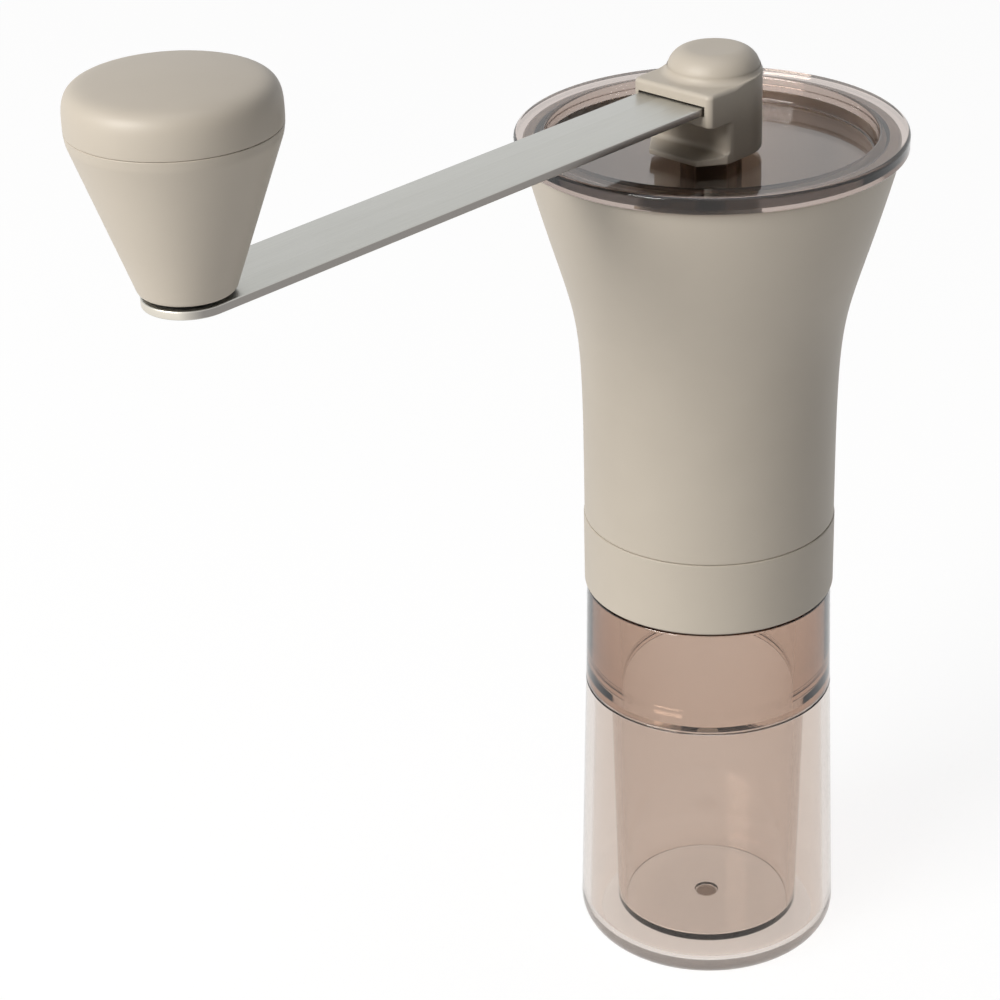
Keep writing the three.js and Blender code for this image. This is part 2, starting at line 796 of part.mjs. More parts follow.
function makeCrankArm() {
  const bar = toSolid(extruded(armShape(0), armUnderside, armThickness));
  const socket = toSolid(prism(hexSocketRadius, 6, armUnderside - overrun, armTop + overrun));
  const axleHole = boreSolid(axleBore, armUnderside, armTop).translate([-crankRadius, 0, 0]);
  return fromSolid(bar.subtract(socket).subtract(axleHole));
}

const HUB_ARC_STEPS = 8;

/** Plan of the hub: round at the back, with sides that run to a square front whose corners are cut off. */
function hubPlan(reach, cutLength, cutWidth) {
  const half = hubBackRadius + ((hubMouthHalfWidth - hubBackRadius) * reach) / hubMouthReach;
  const shape = new THREE.Shape();
  shape.moveTo(0, -hubBackRadius);
  shape.absarc(0, 0, hubBackRadius, -Math.PI / 2, Math.PI / 2, false);
  shape.lineTo(cutLength - reach, half);
  shape.lineTo(-reach, half - cutWidth);
  shape.lineTo(-reach, cutWidth - half);
  shape.lineTo(cutLength - reach, -half);
  shape.closePath();
  return shape;
}

/** Foot: a tapered tongue at the bottom, and a fillet from it up to the shorter neck under the mouth. */
function hubFootSolid() {
  const tongueTop = hubBottom + hubTongueEdge + hubTongueRise;
  const filletReach = hubNeckReach + hubTongueFillet;
  const profile = [
    [hubTongueReach, hubBottom],
    [hubTongueReach, hubBottom + hubTongueEdge],
    ...arc(filletReach, tongueTop + hubTongueFillet, hubTongueFillet, 270, 180),
    [hubNeckReach, hubJawBottom + overrun],
  ];
  const levels = profile.map(([reach, height]) => {
    const share = (reach - hubNeckReach) / (hubTongueReach - hubNeckReach);
    const cutLength = hubNeckCorner + (hubTongueTaperLength - hubNeckCorner) * share;
    const cutWidth = hubNeckCorner + (hubTongueTaperWidth - hubNeckCorner) * share;
    return { outline: hubPlan(reach, cutLength, cutWidth).getPoints(HUB_ARC_STEPS).slice(0, -1), height };
  });
  return toSolid(lofted(levels));
}

/** Hub: a mouth round the arm, a dome over the shaft, and a neck below with a tongue at its foot. */
function makeCrankHub() {
  const mouthPlan = hubPlan(hubMouthReach, hubMouthCorner, hubMouthCorner);
  const mouth = toSolid(extruded(mouthPlan, hubJawBottom, hubShelfTop - hubJawBottom, HUB_ARC_STEPS));
  const domeTop = hubShelfTop + hubDomeHeight;
  const dome = toSolid(turned([
    [0, hubShelfTop - overrun],
    [hubDomeRadius, hubShelfTop - overrun],
    [hubDomeRadius, domeTop - hubDomeRound],
    ...arc(hubDomeRadius - hubDomeRound, domeTop - hubDomeRound, hubDomeRound, 0, 90),
    [0, domeTop],
  ], SMALL_FACETS)).translate([hubDomeSetback, 0, 0]);
  const slot = toSolid(extruded(armShape(slideGap), armUnderside - slideGap, armThickness + 2 * slideGap));
  const socket = toSolid(prism(hexSocketRadius, 6, hubBottom - overrun, shaftTop + faceGap));
  const counterbore = boreSolid(shaftRadius + slideGap, hubBottom, hexBottom + slideGap - overrun);
  const shell = hubFootSolid().add(mouth).add(dome);
  return fromSolid(shell.subtract(slot).subtract(socket).subtract(counterbore));
}

add('crank_arm', makeCrankArm(), STEEL, 0.35, 1);
add('crank_hub', makeCrankHub(), BEIGE, 0.45);

// ---------------------------------------------------------------- knob

/** Puts a piece made on the Z axis onto the knob's own axis at the end of the arm. */
function onKnobAxis(geometry) {
  return geometry.translate(-crankRadius, 0, 0);
}

/** Rivet: a head under the arm, and a shank up through the arm, the washer, the knob and the clip. */
function makeKnobAxle() {
  const headTop = armUnderside - faceGap;
  return onKnobAxis(turned([
    [0, headTop - axleHeadHeight],
    [axleHeadRadius, headTop - axleHeadHeight],
    [axleHeadRadius, headTop],
    [axleRadius, headTop],
    [axleRadius, knobClipBottom + knobClipThickness + axleTip],
    [0, knobClipBottom + knobClipThickness + axleTip],
  ], SMALL_FACETS));
}

const knobShoulderRadius = knobSeamRadius - knobShoulderInset;
const knobMouthRadius = knobShoulderRadius - knobWall;

/** Outer radius of the knob's straight cone at a height. */
function coneRadius(height) {
  const low = knobBottom + knobFootRound;
  const high = knobSeam - knobShoulderHeight;
  return THREE.MathUtils.mapLinear(height, low, high, knobFootRadius, knobShoulderRadius);
}

/** Knob: a hollow cone with a floor, a straight mouth for the cap, and a tube that turns on the axle. */
function makeKnobBody() {
  const shoulder = knobSeam - knobShoulderHeight;
  const tubeRadius = axleBore + knobTubeWall;
  const innerFloor = knobBottom + knobFloor;
  const mouthBottom = knobSeam - knobSpigotDepth - slideGap;
  return onKnobAxis(turned([
    [axleBore, knobBottom],
    [knobFootRadius - knobFootRound, knobBottom],
    [knobFootRadius, knobBottom + knobFootRound],
    [knobShoulderRadius, shoulder],
    [knobSeamRadius, knobSeam],
    [knobMouthRadius, knobSeam],
    [knobMouthRadius, mouthBottom],
    [coneRadius(mouthBottom) - knobWall, mouthBottom],
    [coneRadius(innerFloor) - knobWall, innerFloor],
    [tubeRadius, innerFloor],
    [tubeRadius, knobTubeTop],
    [axleBore, knobTubeTop],
    [axleBore, knobBottom],
  ]));
}

const CAP_STEPS = 6;
const CAP_CROWN_STEPS = 4;

/** Cap: a shell rounded as a squarish curve, with a shallow crown and a spigot that presses into the cone. */
function makeKnobCap() {
  const bottom = knobSeam + faceGap;
  const capTop = bottom + knobCapHeight;
  const plugRadius = knobMouthRadius - slideGap;
  const plugBore = plugRadius - knobSpigotWall;
  const shoulder = knobSeamRadius - knobCapRound;
  const crownStart = capTop - knobCapCrown;
  const roundHeight = crownStart - bottom - knobCapSide;
  const crownRise = (radius) => knobCapCrown * (1 - (radius / knobSeamRadius) ** 2);
  const side = arc(0, 0, 1, 0, 90, CAP_STEPS).map(([cosine, sine]) => [
    shoulder + knobCapRound * Math.abs(cosine) ** (2 / knobCapSquareness),
    bottom + knobCapSide + roundHeight * sine ** (2 / knobCapSquareness),
  ]);
  const top = Array.from({ length: CAP_CROWN_STEPS }, (_, i) => [
    shoulder * (1 - (i + 1) / CAP_CROWN_STEPS),
    crownStart,
  ]);
  const outside = [...side, ...top].map(([radius, height]) => [radius, height + crownRise(radius)]);
  return onKnobAxis(turned([
    [plugBore, bottom - knobSpigotDepth],
    [plugRadius, bottom - knobSpigotDepth],
    [plugRadius, bottom],
    [knobSeamRadius, bottom],
    ...outside,
    [0, capTop - knobWall],
    [shoulder, crownStart - knobWall],
    [plugBore, bottom + knobCapSide + roundHeight / 2],
    [plugBore, bottom - knobSpigotDepth],
  ]));
}

const knobWasherBottom = armTop + faceGap;

add('knob_axle', makeKnobAxle(), STEEL, 0.3, 1);
add('knob_washer', onKnobAxis(ring(knobWasherRadius, axleBore, knobWasherBottom,
  knobWasherBottom + knobWasherThickness)), BLACK, 0.5);
add('knob_body', makeKnobBody(), BEIGE, 0.45);
add('knob_cap', makeKnobCap(), BEIGE, 0.45);
add('knob_clip', onKnobAxis(ring(knobClipRadius, axleRadius + faceGap, knobClipBottom,
  knobClipBottom + knobClipThickness)), STEEL, 0.35, 1);

export default model;
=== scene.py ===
import math
from functools import partial

import bmesh
import bpy
import numpy as np
from mathutils import Matrix, Vector
from mathutils.geometry import tessellate_polygon


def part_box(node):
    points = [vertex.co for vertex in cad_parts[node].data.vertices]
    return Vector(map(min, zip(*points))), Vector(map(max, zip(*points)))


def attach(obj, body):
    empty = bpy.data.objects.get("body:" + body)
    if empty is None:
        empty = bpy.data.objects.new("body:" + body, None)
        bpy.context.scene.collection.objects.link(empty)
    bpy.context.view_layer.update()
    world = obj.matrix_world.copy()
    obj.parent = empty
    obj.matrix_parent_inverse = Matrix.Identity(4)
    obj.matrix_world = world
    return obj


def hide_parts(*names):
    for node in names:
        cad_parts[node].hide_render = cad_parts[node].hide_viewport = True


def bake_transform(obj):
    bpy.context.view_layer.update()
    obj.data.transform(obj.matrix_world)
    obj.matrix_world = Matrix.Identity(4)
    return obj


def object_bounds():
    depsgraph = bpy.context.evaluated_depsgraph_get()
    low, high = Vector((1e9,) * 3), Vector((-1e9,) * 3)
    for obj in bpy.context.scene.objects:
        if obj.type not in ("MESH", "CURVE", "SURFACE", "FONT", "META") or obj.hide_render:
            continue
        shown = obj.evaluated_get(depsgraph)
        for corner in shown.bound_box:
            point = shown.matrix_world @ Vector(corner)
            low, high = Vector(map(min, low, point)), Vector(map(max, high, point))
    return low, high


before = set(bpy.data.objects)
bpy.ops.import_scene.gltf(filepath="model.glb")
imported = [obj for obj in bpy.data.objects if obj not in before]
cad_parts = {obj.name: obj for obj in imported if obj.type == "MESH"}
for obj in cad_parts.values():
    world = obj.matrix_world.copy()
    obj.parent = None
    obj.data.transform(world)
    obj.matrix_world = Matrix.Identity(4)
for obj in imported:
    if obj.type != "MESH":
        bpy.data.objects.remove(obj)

# -------- the picture: camera, floor and light
# A pale studio floor under a white room. One large soft lamp stands high on the crank side, a weak one hangs
# far above, and the room fills the shadows. Lengths are in millimetres up to the point where a mesh is made.

MM = 0.001
TURN = 2 * math.pi
packed_box = [list(corner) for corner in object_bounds()]

camera_place = (-411.3, -335.4, 370.1)
camera_heading = 43.83  # degrees from +X towards +Y
camera_dip = 26.85  # degrees below the horizon
camera_roll = -1.73


def add_object(name, data):
    """Puts an object with its data into the scene."""
    made = bpy.data.objects.new(name, data)
    bpy.context.collection.objects.link(made)
    return made


camera = add_object("camera", bpy.data.cameras.new("camera"))
camera.data.sensor_width = 36
camera.data.lens = 104.04
camera.matrix_world = (
    Matrix.Translation([value * MM for value in camera_place])
    @ Matrix.Rotation(math.radians(camera_heading - 90), 4, "Z")
    @ Matrix.Rotation(math.radians(90 - camera_dip), 4, "X")
    @ Matrix.Rotation(math.radians(camera_roll), 4, "Z")
)
bpy.context.scene.camera = camera
bpy.context.scene.view_settings.view_transform = "Standard"


def linear(code):
    """The linear colour of an sRGB hex code: ((c + 0.055) / 1.055) ** 2.4, or c / 12.92 where c is small."""
    channels = np.array([int(code[i : i + 2], 16) for i in (0, 2, 4)]) / 255
    bright = ((channels + 0.055) / 1.055) ** 2.4
    return (*np.where(channels > 0.04045, bright, channels / 12.92).tolist(), 1.0)


def add_node(tree, kind, sockets=(), **settings):
    """Adds a shader node with its settings, and fills its sockets, given as {name or number: value}.

    A value may be a number, a hex colour, a socket, or a node, which gives its first output in use."""
    made = tree.nodes.new("ShaderNode" + kind)
    for name, value in settings.items():
        setattr(made, name, value)
    for name, value in dict(sockets).items():
        if isinstance(value, bpy.types.Node):
            value = next(socket for socket in value.outputs if socket.enabled)
        if isinstance(value, bpy.types.NodeSocket):
            tree.links.new(value, made.inputs[name])
        else:
            made.inputs[name].default_value = linear(value) if isinstance(value, str) else value
    return made


def direct_view(add):
    """1 for a ray seen straight, by gloss or through glass, and 0 once it has lit a matt surface."""
    path = add("LightPath").outputs
    gloss = add("Math", {0: path["Is Camera Ray"], 1: path["Is Glossy Ray"]}, operation="MAXIMUM")
    seen = add("Math", {0: gloss, 1: path["Is Transmission Ray"]}, operation="MAXIMUM")
    first = add("Math", {0: path["Diffuse Depth"], 1: 0.5}, operation="LESS_THAN")
    return add("Math", {0: seen, 1: first}, operation="MULTIPLY")


room_level = 0.085
world = bpy.data.worlds.new("white room")
world.use_nodes = True
world.node_tree.nodes.clear()
add = partial(add_node, world.node_tree)
strength = add("MapRange", {0: direct_view(add), "To Min": room_level, "To Max": 1.0})
sky = add("Background", {"Color": "FFFFFF", "Strength": strength})
add("OutputWorld", {"Surface": sky})
bpy.context.scene.world = world


def new_material(name):
    """An empty node material and its add, which is add_node for its own tree."""
    material = bpy.data.materials.new(name)
    material.use_nodes = True
    material.node_tree.nodes.clear()
    return material, partial(add_node, material.node_tree)


floor_size = 8000
floor_drop = 0.05
floor_glow = 0.89
floor_mesh = bpy.data.meshes.new("floor")
floor_corners = np.array([[-1, -1], [1, -1], [1, 1], [-1, 1]]) * floor_size / 2
floor_points = np.column_stack([floor_corners, np.full(4, -floor_drop)]) * MM
floor_mesh.from_pydata(floor_points.tolist(), [], [(0, 1, 2, 3)])
floor = add_object("floor", floor_mesh)
paper, add = new_material("matt white paper")
# Paper bounces nearly all the light that it gets. Looked at, it glows a little below white, so that it keeps
# the grinder's shadow and meets the room without an edge.
bounce = add("BsdfDiffuse", {"Color": "F8F8F8"})
shadowed = add("BsdfDiffuse", {"Color": "707070"})
glow = add("Emission", {"Color": "FFFFFF", "Strength": floor_glow})
seen = add("AddShader", {0: shadowed, 1: glow})
sheet = add("MixShader", {0: direct_view(add), 1: bounce, 2: seen})
add("OutputMaterial", {"Surface": sheet})
floor_mesh.materials.append(paper)


def add_lamp(name, place, size, power, colour):
    """A square soft lamp at a place in mm that faces the middle of the grinder's height."""
    lamp = add_object(name, bpy.data.lights.new(name, "AREA"))
    lamp.data.size = size * MM
    lamp.data.energy = power
    lamp.data.color = linear(colour)[:3]
    lamp.location = Vector(place) * MM
    aim = Vector((0, 0, packed_box[1][2] / 2)) - lamp.location
    lamp.rotation_mode = "QUATERNION"
    lamp.rotation_quaternion = aim.to_track_quat("-Z", "Y")


add_lamp("key lamp", (-2276, 300, 1615), 1400, 71.0, "FFFCF8")
add_lamp("top lamp", (0, 0, 2500), 1500, 7.5, "F0F4FF")

# -------- outer cup
# The clear shell that the grinder stands on, injection moulded in polished acrylic with a rounded heel and
# a tongue round its top edge, on which the inner cup is glued.

crease_angle = 32  # degrees; a sharper edge stays crisp
weld_reach = 2e-7  # metres
touch_gap = 0.05  # between two pieces that bear on each other


def span(name):
    """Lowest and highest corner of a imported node, in mm."""
    return [np.array(corner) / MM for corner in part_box(name)]


def extent(name, axis=0):
    """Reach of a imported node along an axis, and its foot and top, in mm."""
    low, high = span(name)
    return high[axis], low[2], high[2]


def closed(points):
    """An outline with its first point again at its end."""
    return np.vstack([points, points[:1]])


def rounded(corners, steps=6, runs=1, keep=False, opened=False, guard=0.08):
    """Outline of a polygon, rows of x, y and rounding in mm, with its corners rounded.

    At a corner with rounding r that turns by a, the arc starts and ends r * tan(a / 2) along the sides, about
    a centre r square to them. Each straight run is cut into equal parts, with a guard point by each arc that
    keeps the flat flat. Opened, it has no run from the last corner back to the first. Points that fall on
    each other are kept on request, so that outlines of different sizes match point for point."""
    corners = np.asarray(corners, float)
    points, size = corners[:, :2], corners[:, 2:]
    ahead = np.roll(points, -1, axis=0) - points
    length = np.linalg.norm(ahead, axis=1, keepdims=True)
    ahead = ahead / length
    behind = np.roll(ahead, 1, axis=0)
    sine = behind[:, 0] * ahead[:, 1] - behind[:, 1] * ahead[:, 0]
    turn = np.arctan2(sine, (behind * ahead).sum(axis=1))[:, None]
    reach = size * np.abs(np.tan(turn / 2))
    start = points - behind * reach
    centre = start + np.column_stack([-behind[:, 1], behind[:, 0]]) * np.sign(turn) * size
    angle = turn[:, None] * np.linspace(0, 1, steps + 1)[None, :, None]
    spoke = (start - centre)[:, None]
    across = np.stack([-spoke[..., 1], spoke[..., 0]], axis=-1)
    arc = centre[:, None] + spoke * np.cos(angle) + across * np.sin(angle)
    run = length - reach - np.roll(reach, -1, axis=0)
    edge = np.minimum(guard, run / (4 * runs))
    along = np.concatenate([edge, run * np.linspace(0, 1, runs + 1)[1:-1], run - edge], axis=1)
    flat = (points + ahead * reach)[:, None] + ahead[:, None] * along[..., None]
    outline = np.concatenate([arc, flat], axis=1).reshape(-1, 2)
    if opened:
        outline = outline[: -(runs + 1)]
    if not keep:
        outline = outline[np.linalg.norm(outline - np.roll(outline, 1, axis=0), axis=1) > 1e-6]
    return outline if opened else closed(outline)


def around(radius, angle, *height):
    """Points (r cos t, r sin t), with a height where one is given."""
    return np.stack(np.broadcast_arrays(radius * np.cos(angle), radius * np.sin(angle), *height), axis=-1)


def lathe(profile, facets=192, centre=(0, 0)):
    """Grid of the surface (x0 + r cos t, y0 + r sin t, z) over profile points (r, z) and a full turn of t."""
    profile = np.asarray(profile, float)
    return around(profile[:, :1], np.linspace(0, TURN, facets + 1), profile[:, 1:]) + [*centre, 0]


def turned(corners, steps=6, facets=192, centre=(0, 0)):
    """Grid of a turned piece over a rounded profile, which is open where it starts and ends on the axis."""
    on_axis = corners[0][0] == corners[-1][0] == 0
    return lathe(rounded(corners, steps, opened=on_axis), facets, centre)


def mesh_of(name, grids, plates=(), crease=crease_angle):
    """A smooth mesh from grids of points in mm and from flat plates, each its points and triangles.

    A grid faces out where its columns turn anticlockwise as its rows climb. Points that meet are welded, so
    that seams and poles close, and edges sharper than crease stay sharp."""
    points, faces, count = [], [], 0
    for grid in grids:
        rows, columns = grid.shape[:2]
        number = count + np.arange(rows * columns).reshape(rows, columns)
        quads = [number[:-1, :-1], number[:-1, 1:], number[1:, 1:], number[1:, :-1]]
        faces += np.stack(quads, axis=-1).reshape(-1, 4).tolist()
        points.append(grid.reshape(-1, 3))
        count += rows * columns
    for plate, triangles in plates:
        faces += (triangles + count).tolist()
        points.append(plate)
        count += len(plate)
    mesh = bpy.data.meshes.new(name)
    mesh.from_pydata((np.concatenate(points) * MM).tolist(), [], faces)
    work = bmesh.new()
    work.from_mesh(mesh)
    bmesh.ops.remove_doubles(work, verts=work.verts, dist=weld_reach)
    bmesh.ops.dissolve_degenerate(work, edges=work.edges, dist=weld_reach / 2)
    work.to_mesh(mesh)
    work.free()
    mesh.shade_smooth()
    mesh.set_sharp_from_angle(angle=math.radians(crease))
    return mesh


def add_piece(name, shape, material, body, node):
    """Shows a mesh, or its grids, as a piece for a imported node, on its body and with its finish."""
    mesh = shape if isinstance(shape, bpy.types.Mesh) else mesh_of(name, shape)
    piece = add_object(name, mesh)
    mesh.materials.clear()
    mesh.materials.append(material)
    if body:
        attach(piece, body)
    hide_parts(node)
    return piece


def new_finish(name):
    """A new material, its add, and each point's place on its piece."""
    material, add = new_material(name)
    return material, add, add("TexCoord").outputs["Object"]


def per(size):
    """Scale of a pattern that repeats every size in mm."""
    return 1 / (size * MM)


def polish(add, place, skin, tint, depth, shade, index=1.49, gloss=None):
    """Makes a material polished acrylic, with IOR 1.49 unless another suits a thin wall.

    Light takes the skin's colour once for each wall that it crosses, and loses depth * (1 - tint) for each
    metre inside one, so thick places and edges look darker. The shade is the colour of its soft shadow. A
    long faint ripple is the moulding's, and handling leaves the gloss a trace uneven unless one is given."""
    waves = add("TexNoise", {"Vector": place, "Scale": per(18), "Detail": 1.0})
    bump = add("Bump", {"Height": waves, "Strength": 0.02, "Distance": 0.1 * MM})
    if not gloss:
        scuff = add("TexNoise", {"Vector": place, "Scale": per(2.5), "Detail": 3.0})
        gloss = add("MapRange", {0: scuff, "To Min": 0.0, "To Max": 0.05})
    looks = {"Base Color": skin, "Roughness": gloss, "IOR": index, "Transmission Weight": 1.0, "Normal": bump}
    glass = add("BsdfPrincipled", looks)
    through = add("BsdfTransparent", {"Color": shade})
    lamp_ray = add("LightPath").outputs["Is Shadow Ray"]
    surface = add("MixShader", {0: lamp_ray, 1: glass, 2: through})
    soak = add("VolumeAbsorption", {"Color": tint, "Density": depth})
    add("OutputMaterial", {"Surface": surface, "Volume": soak})


shell_top_radius = 25.75
shell_wall = 2.0
shell_floor = 3.2
shell_heel = 5.4
tongue_width = 0.9
tongue_height = 1.0
tongue_shown = 0.3
ground_height = 0.3
ground_edge = 0.1
ground_roughness = 0.5

shell_foot_radius, _, tongue_high = extent("outer_cup")
shell_top = tongue_high - tongue_height
shell_bore = shell_top_radius - shell_wall
tongue_radius = shell_bore + tongue_width
tongue_top = shell_top + tongue_shown
shell_corners = [
    (0, 0, 0),
    (shell_foot_radius, 0, shell_heel),
    (shell_top_radius, shell_top, 0.15),
    (tongue_radius, shell_top, 0.1),
    (tongue_radius, tongue_top, 0.1),
    (shell_bore, tongue_top, 0.1),
    (shell_foot_radius - shell_wall, shell_floor, shell_heel - shell_wall),
    (0, shell_floor, 0),
]
clear_acrylic, add, place = new_finish("clear acrylic, polished")
# The underside is ground matt, so that the cup does not slip, and the heel above it stays bright. Its skin
# is white there, a painted brightening of the base against the shadow under the cup.
height = add("SeparateXYZ", {0: place}).outputs["Z"]
low = add("MapRange", {0: height, "From Min": ground_height * MM, "From Max": ground_edge * MM})
ground = add("MapRange", {0: low, "To Min": 0.03, "To Max": ground_roughness})
# Painted light: the underside's skin is white instead of warm, so the base shows brighter.
skin = add("Mix", {0: low, "A": "EAE2DC", "B": "FFFFFF"}, data_type="RGBA")
polish(add, place, skin, "B5A595", 25, "F2EEEA", index=1.33, gloss=ground)
add_piece("clear_shell", [turned(shell_corners, 12)], clear_acrylic, "cup", "outer_cup")

# -------- inner cup
# The grounds cup, one moulding in smoke-tinted acrylic: a solid collar that stands on the shell, a neck that
# the beige ring hides above it, and a narrow cup inside the shell with a gate mark in its floor.

collar_foot_radius = 25.72
collar_top_radius = 25.25
neck_radius = 23.8
neck_wall = 1.6
ledge_drop = 1.2
ledge_rise = 1.5
liner_top_radius = 20.5
liner_foot_radius = 19.3
liner_wall = 1.6
liner_floor = 1.1
gate_radius = 2.5
gate_depth = 0.4
groove_gap = 0.1

_, cup_foot, cup_top = extent("inner_cup")
seal_radius, seal_foot, seal_top = extent("cup_seal")
collar_foot = shell_top + touch_gap
collar_top = seal_foot - touch_gap
neck_bore = neck_radius - neck_wall
groove_inner = shell_bore - groove_gap
groove_outer = tongue_radius + groove_gap
groove_roof = tongue_top + groove_gap
ledge = collar_top - ledge_drop
floor_level = cup_foot + liner_floor
cup_corners = [
    (0, cup_foot, 0),
    (liner_foot_radius, cup_foot, 0.8),
    (liner_top_radius, collar_foot, 0.3),
    (groove_inner, collar_foot, 0.1),
    (groove_inner, groove_roof, 0.1),
    (groove_outer, groove_roof, 0.1),
    (groove_outer, collar_foot, 0.1),
    (collar_foot_radius, collar_foot, 0.3),
    (collar_top_radius, collar_top, 0.4),
    (neck_radius, collar_top, 0.2),
    (neck_radius, cup_top, 0.3),
    (neck_bore, cup_top, 0.3),
    (neck_bore, ledge + ledge_rise, 0.4),
    (liner_top_radius - liner_wall, ledge, 0.6),
    (liner_foot_radius - liner_wall, floor_level, 0.5),
    (gate_radius, floor_level, 0.15),
    (gate_radius, floor_level - gate_depth, 0.3),
    (0, floor_level - gate_depth, 0),
]
smoke_acrylic, add, place = new_finish("smoke acrylic, polished")
# The gate leaves a shallow round recess in the floor, whose skin is a darker grey-brown.
flat_place = add("VectorMath", {0: place, 1: (1, 1, 0)}, operation="MULTIPLY")
from_axis = add("VectorMath", {0: flat_place}, operation="LENGTH")
scar_edge = {"From Min": gate_radius * 0.8 * MM, "From Max": gate_radius * MM, "To Min": 1.0, "To Max": 0.0}
scar = add("MapRange", {0: from_axis, **scar_edge})
skin = add("Mix", {0: scar, "A": "FFFFFF", "B": "8C7A6C"}, data_type="RGBA")
polish(add, place, skin, "BA894B", 115, "D8C8BC")
add_piece("grounds_cup", [turned(cup_corners, 8)], smoke_acrylic, "cup", "inner_cup")

# -------- seal
# A flat ring moulded in grey silicone rubber. It slips over the cup's neck, lies on the collar and closes the
# joint under the beige ring.


def opaque(add, share, tones, looks, relief=None, strength=0, depth=0):
    """Makes a material opaque: its colour goes from one tone to another by a share, and its bumps, with a
    depth in mm, follow a relief."""
    colour = add("Mix", {0: share, "A": tones[0], "B": tones[1]}, data_type="RGBA")
    if relief:
        bump = add("Bump", {"Height": relief, "Strength": strength, "Distance": depth * MM})
        looks = {**looks, "Normal": bump}
    shader = add("BsdfPrincipled", {"Base Color": colour, **looks})
    add("OutputMaterial", {"Surface": shader})


silicone, add, place = new_finish("grey silicone, matt")
# Silicone is dull and holds dust, so its grey is mottled every half millimetre or so. The rubber is grey,
# and its grey is drawn darker as painted shade for the joint under the beige ring.
dust = add("TexNoise", {"Vector": place, "Scale": per(0.6), "Detail": 4.0})
opaque(add, dust, ("3A3532", "4A443F"), {"Roughness": 0.75})

seal_bore = neck_radius + 0.1
seal_corners = [
    (seal_bore, seal_foot, 0.1),
    (seal_radius, seal_foot, 0.12),
    (seal_radius, seal_top, 0.12),
    (seal_bore, seal_top, 0.1),
]
add_piece("seal", [turned(seal_corners, 3)], silicone, "seal", "cup_seal")

# -------- burr housing
# The beige ring, moulded in ABS: a skirt over the cup's neck, a seat for the ring burr, and a funnel above
# it. It is pressed into the foot of the upper body.

ring_wall = 1.5
neck_roof_gap = 1.4
spigot_wall = 1.4
spigot_gap = 0.25
funnel_lip = 14.0
hopper_wall = 2.5
waist_radius = 25.54
seat_gap = 0.1
neck_play = 0.4

abs_plastic, add, place = new_finish("greige ABS, satin moulded")
# The mould was eroded to a fine satin grain, which spreads each highlight wide. The colour drifts by a trace
# over a centimetre, and the grain is drawn at a third of a millimetre, coarser than it is, so that it shows.
drift = add("TexNoise", {"Vector": place, "Scale": per(9), "Detail": 2.0})
grain = add("TexNoise", {"Vector": place, "Scale": per(0.35), "Detail": 3.0})
satin = add("MapRange", {0: grain, "To Min": 0.42, "To Max": 0.52})
opaque(add, drift, ("C0B7A9", "C5BCAE"), {"Roughness": satin, "IOR": 1.53}, grain, 0.06, 0.05)

ring_radius, ring_foot, spigot_top = extent("burr_housing")
burr_radius, burr_foot, burr_top = extent("outer_burr")
_, hopper_foot, rim_top = extent("hopper_body")
ring_top = hopper_foot - touch_gap
ring_bore = ring_radius - ring_wall
neck_roof = cup_top + neck_roof_gap
spigot_radius = waist_radius - hopper_wall - spigot_gap
seat_radius = burr_radius + seat_gap
seat_wall = neck_bore - neck_play
ring_corners = [
    (ring_bore, ring_foot, 0.3),
    (ring_radius, ring_foot, 0.5),
    (ring_radius, ring_top, 0.3),
    (spigot_radius, ring_top, 0.1),
    (spigot_radius, spigot_top, 0.4),
    (spigot_radius - spigot_wall, spigot_top, 0.4),
    (funnel_lip, ring_top, 0.8),
    (funnel_lip, burr_top + touch_gap, 0.2),
    (seat_radius, burr_top + touch_gap, 0.1),
    (seat_radius, burr_foot, 0.2),
    (seat_wall, burr_foot, 0.3),
    (seat_wall, neck_roof, 0.4),
    (ring_bore, neck_roof, 0.4),
]
add_piece("beige_ring", [turned(ring_corners)], abs_plastic, "mill", "burr_housing")

# -------- outer burr
# The ring burr, pressed and fired from technical ceramic and then ground: wide pitched flutes at its mouth
# break the beans, and fine teeth in the zone below grind them. It sits in the beige ring and doesn't turn.

zone_height = 6.5
zone_slope = 0.2
burr_mouth = 13.2
burr_throat = 12.9
burr_bevel = 0.3
burr_crease = 25
burr_twist = math.radians(5)  # for each mm of height
flute_count = 7
flute_depth = 2.4
tooth_count = 42
tooth_depth = 0.55


def toothed(profile, twist, facets=588):
    """Grid of a turned profile, rows of radius, height, flute depth and tooth depth, cut by slanting saws.

    At a share u of the way round, r = radius - flute * saw(flutes * u) - tooth * saw(teeth * u), where saw
    climbs over four fifths of its step and falls over the rest, and the angle is 2 pi u + twist * height. A
    depth below zero cuts the other way, out into a ring."""
    share = np.linspace(0, 1, facets + 1)
    counts = (flute_count, tooth_count)
    flutes, teeth = [np.interp(share * count % 1, [0, 0.8, 1], [0, 1, 0]) for count in counts]
    radius = profile[:, :1] - profile[:, 2:3] * flutes - profile[:, 3:] * teeth
    return around(radius, TURN * share + twist * profile[:, 1:2], profile[:, 1:2])


ceramic, add, place = new_finish("technical ceramic, fired and ground")
# Fine alumina: off-white and matt, with a faint dark fleck from the grinding every millimetre or so.
fleck = add("TexNoise", {"Vector": place, "Scale": per(0.7), "Detail": 3.0})
share = add("MapRange", {0: fleck, "From Min": 0.58, "From Max": 0.72})
grit = add("TexNoise", {"Vector": place, "Scale": per(0.12), "Detail": 2.0})
opaque(add, share, ("E9E6DE", "CFC9BD"), {"Roughness": 0.55, "IOR": 1.7}, grit, 0.15, 0.03)

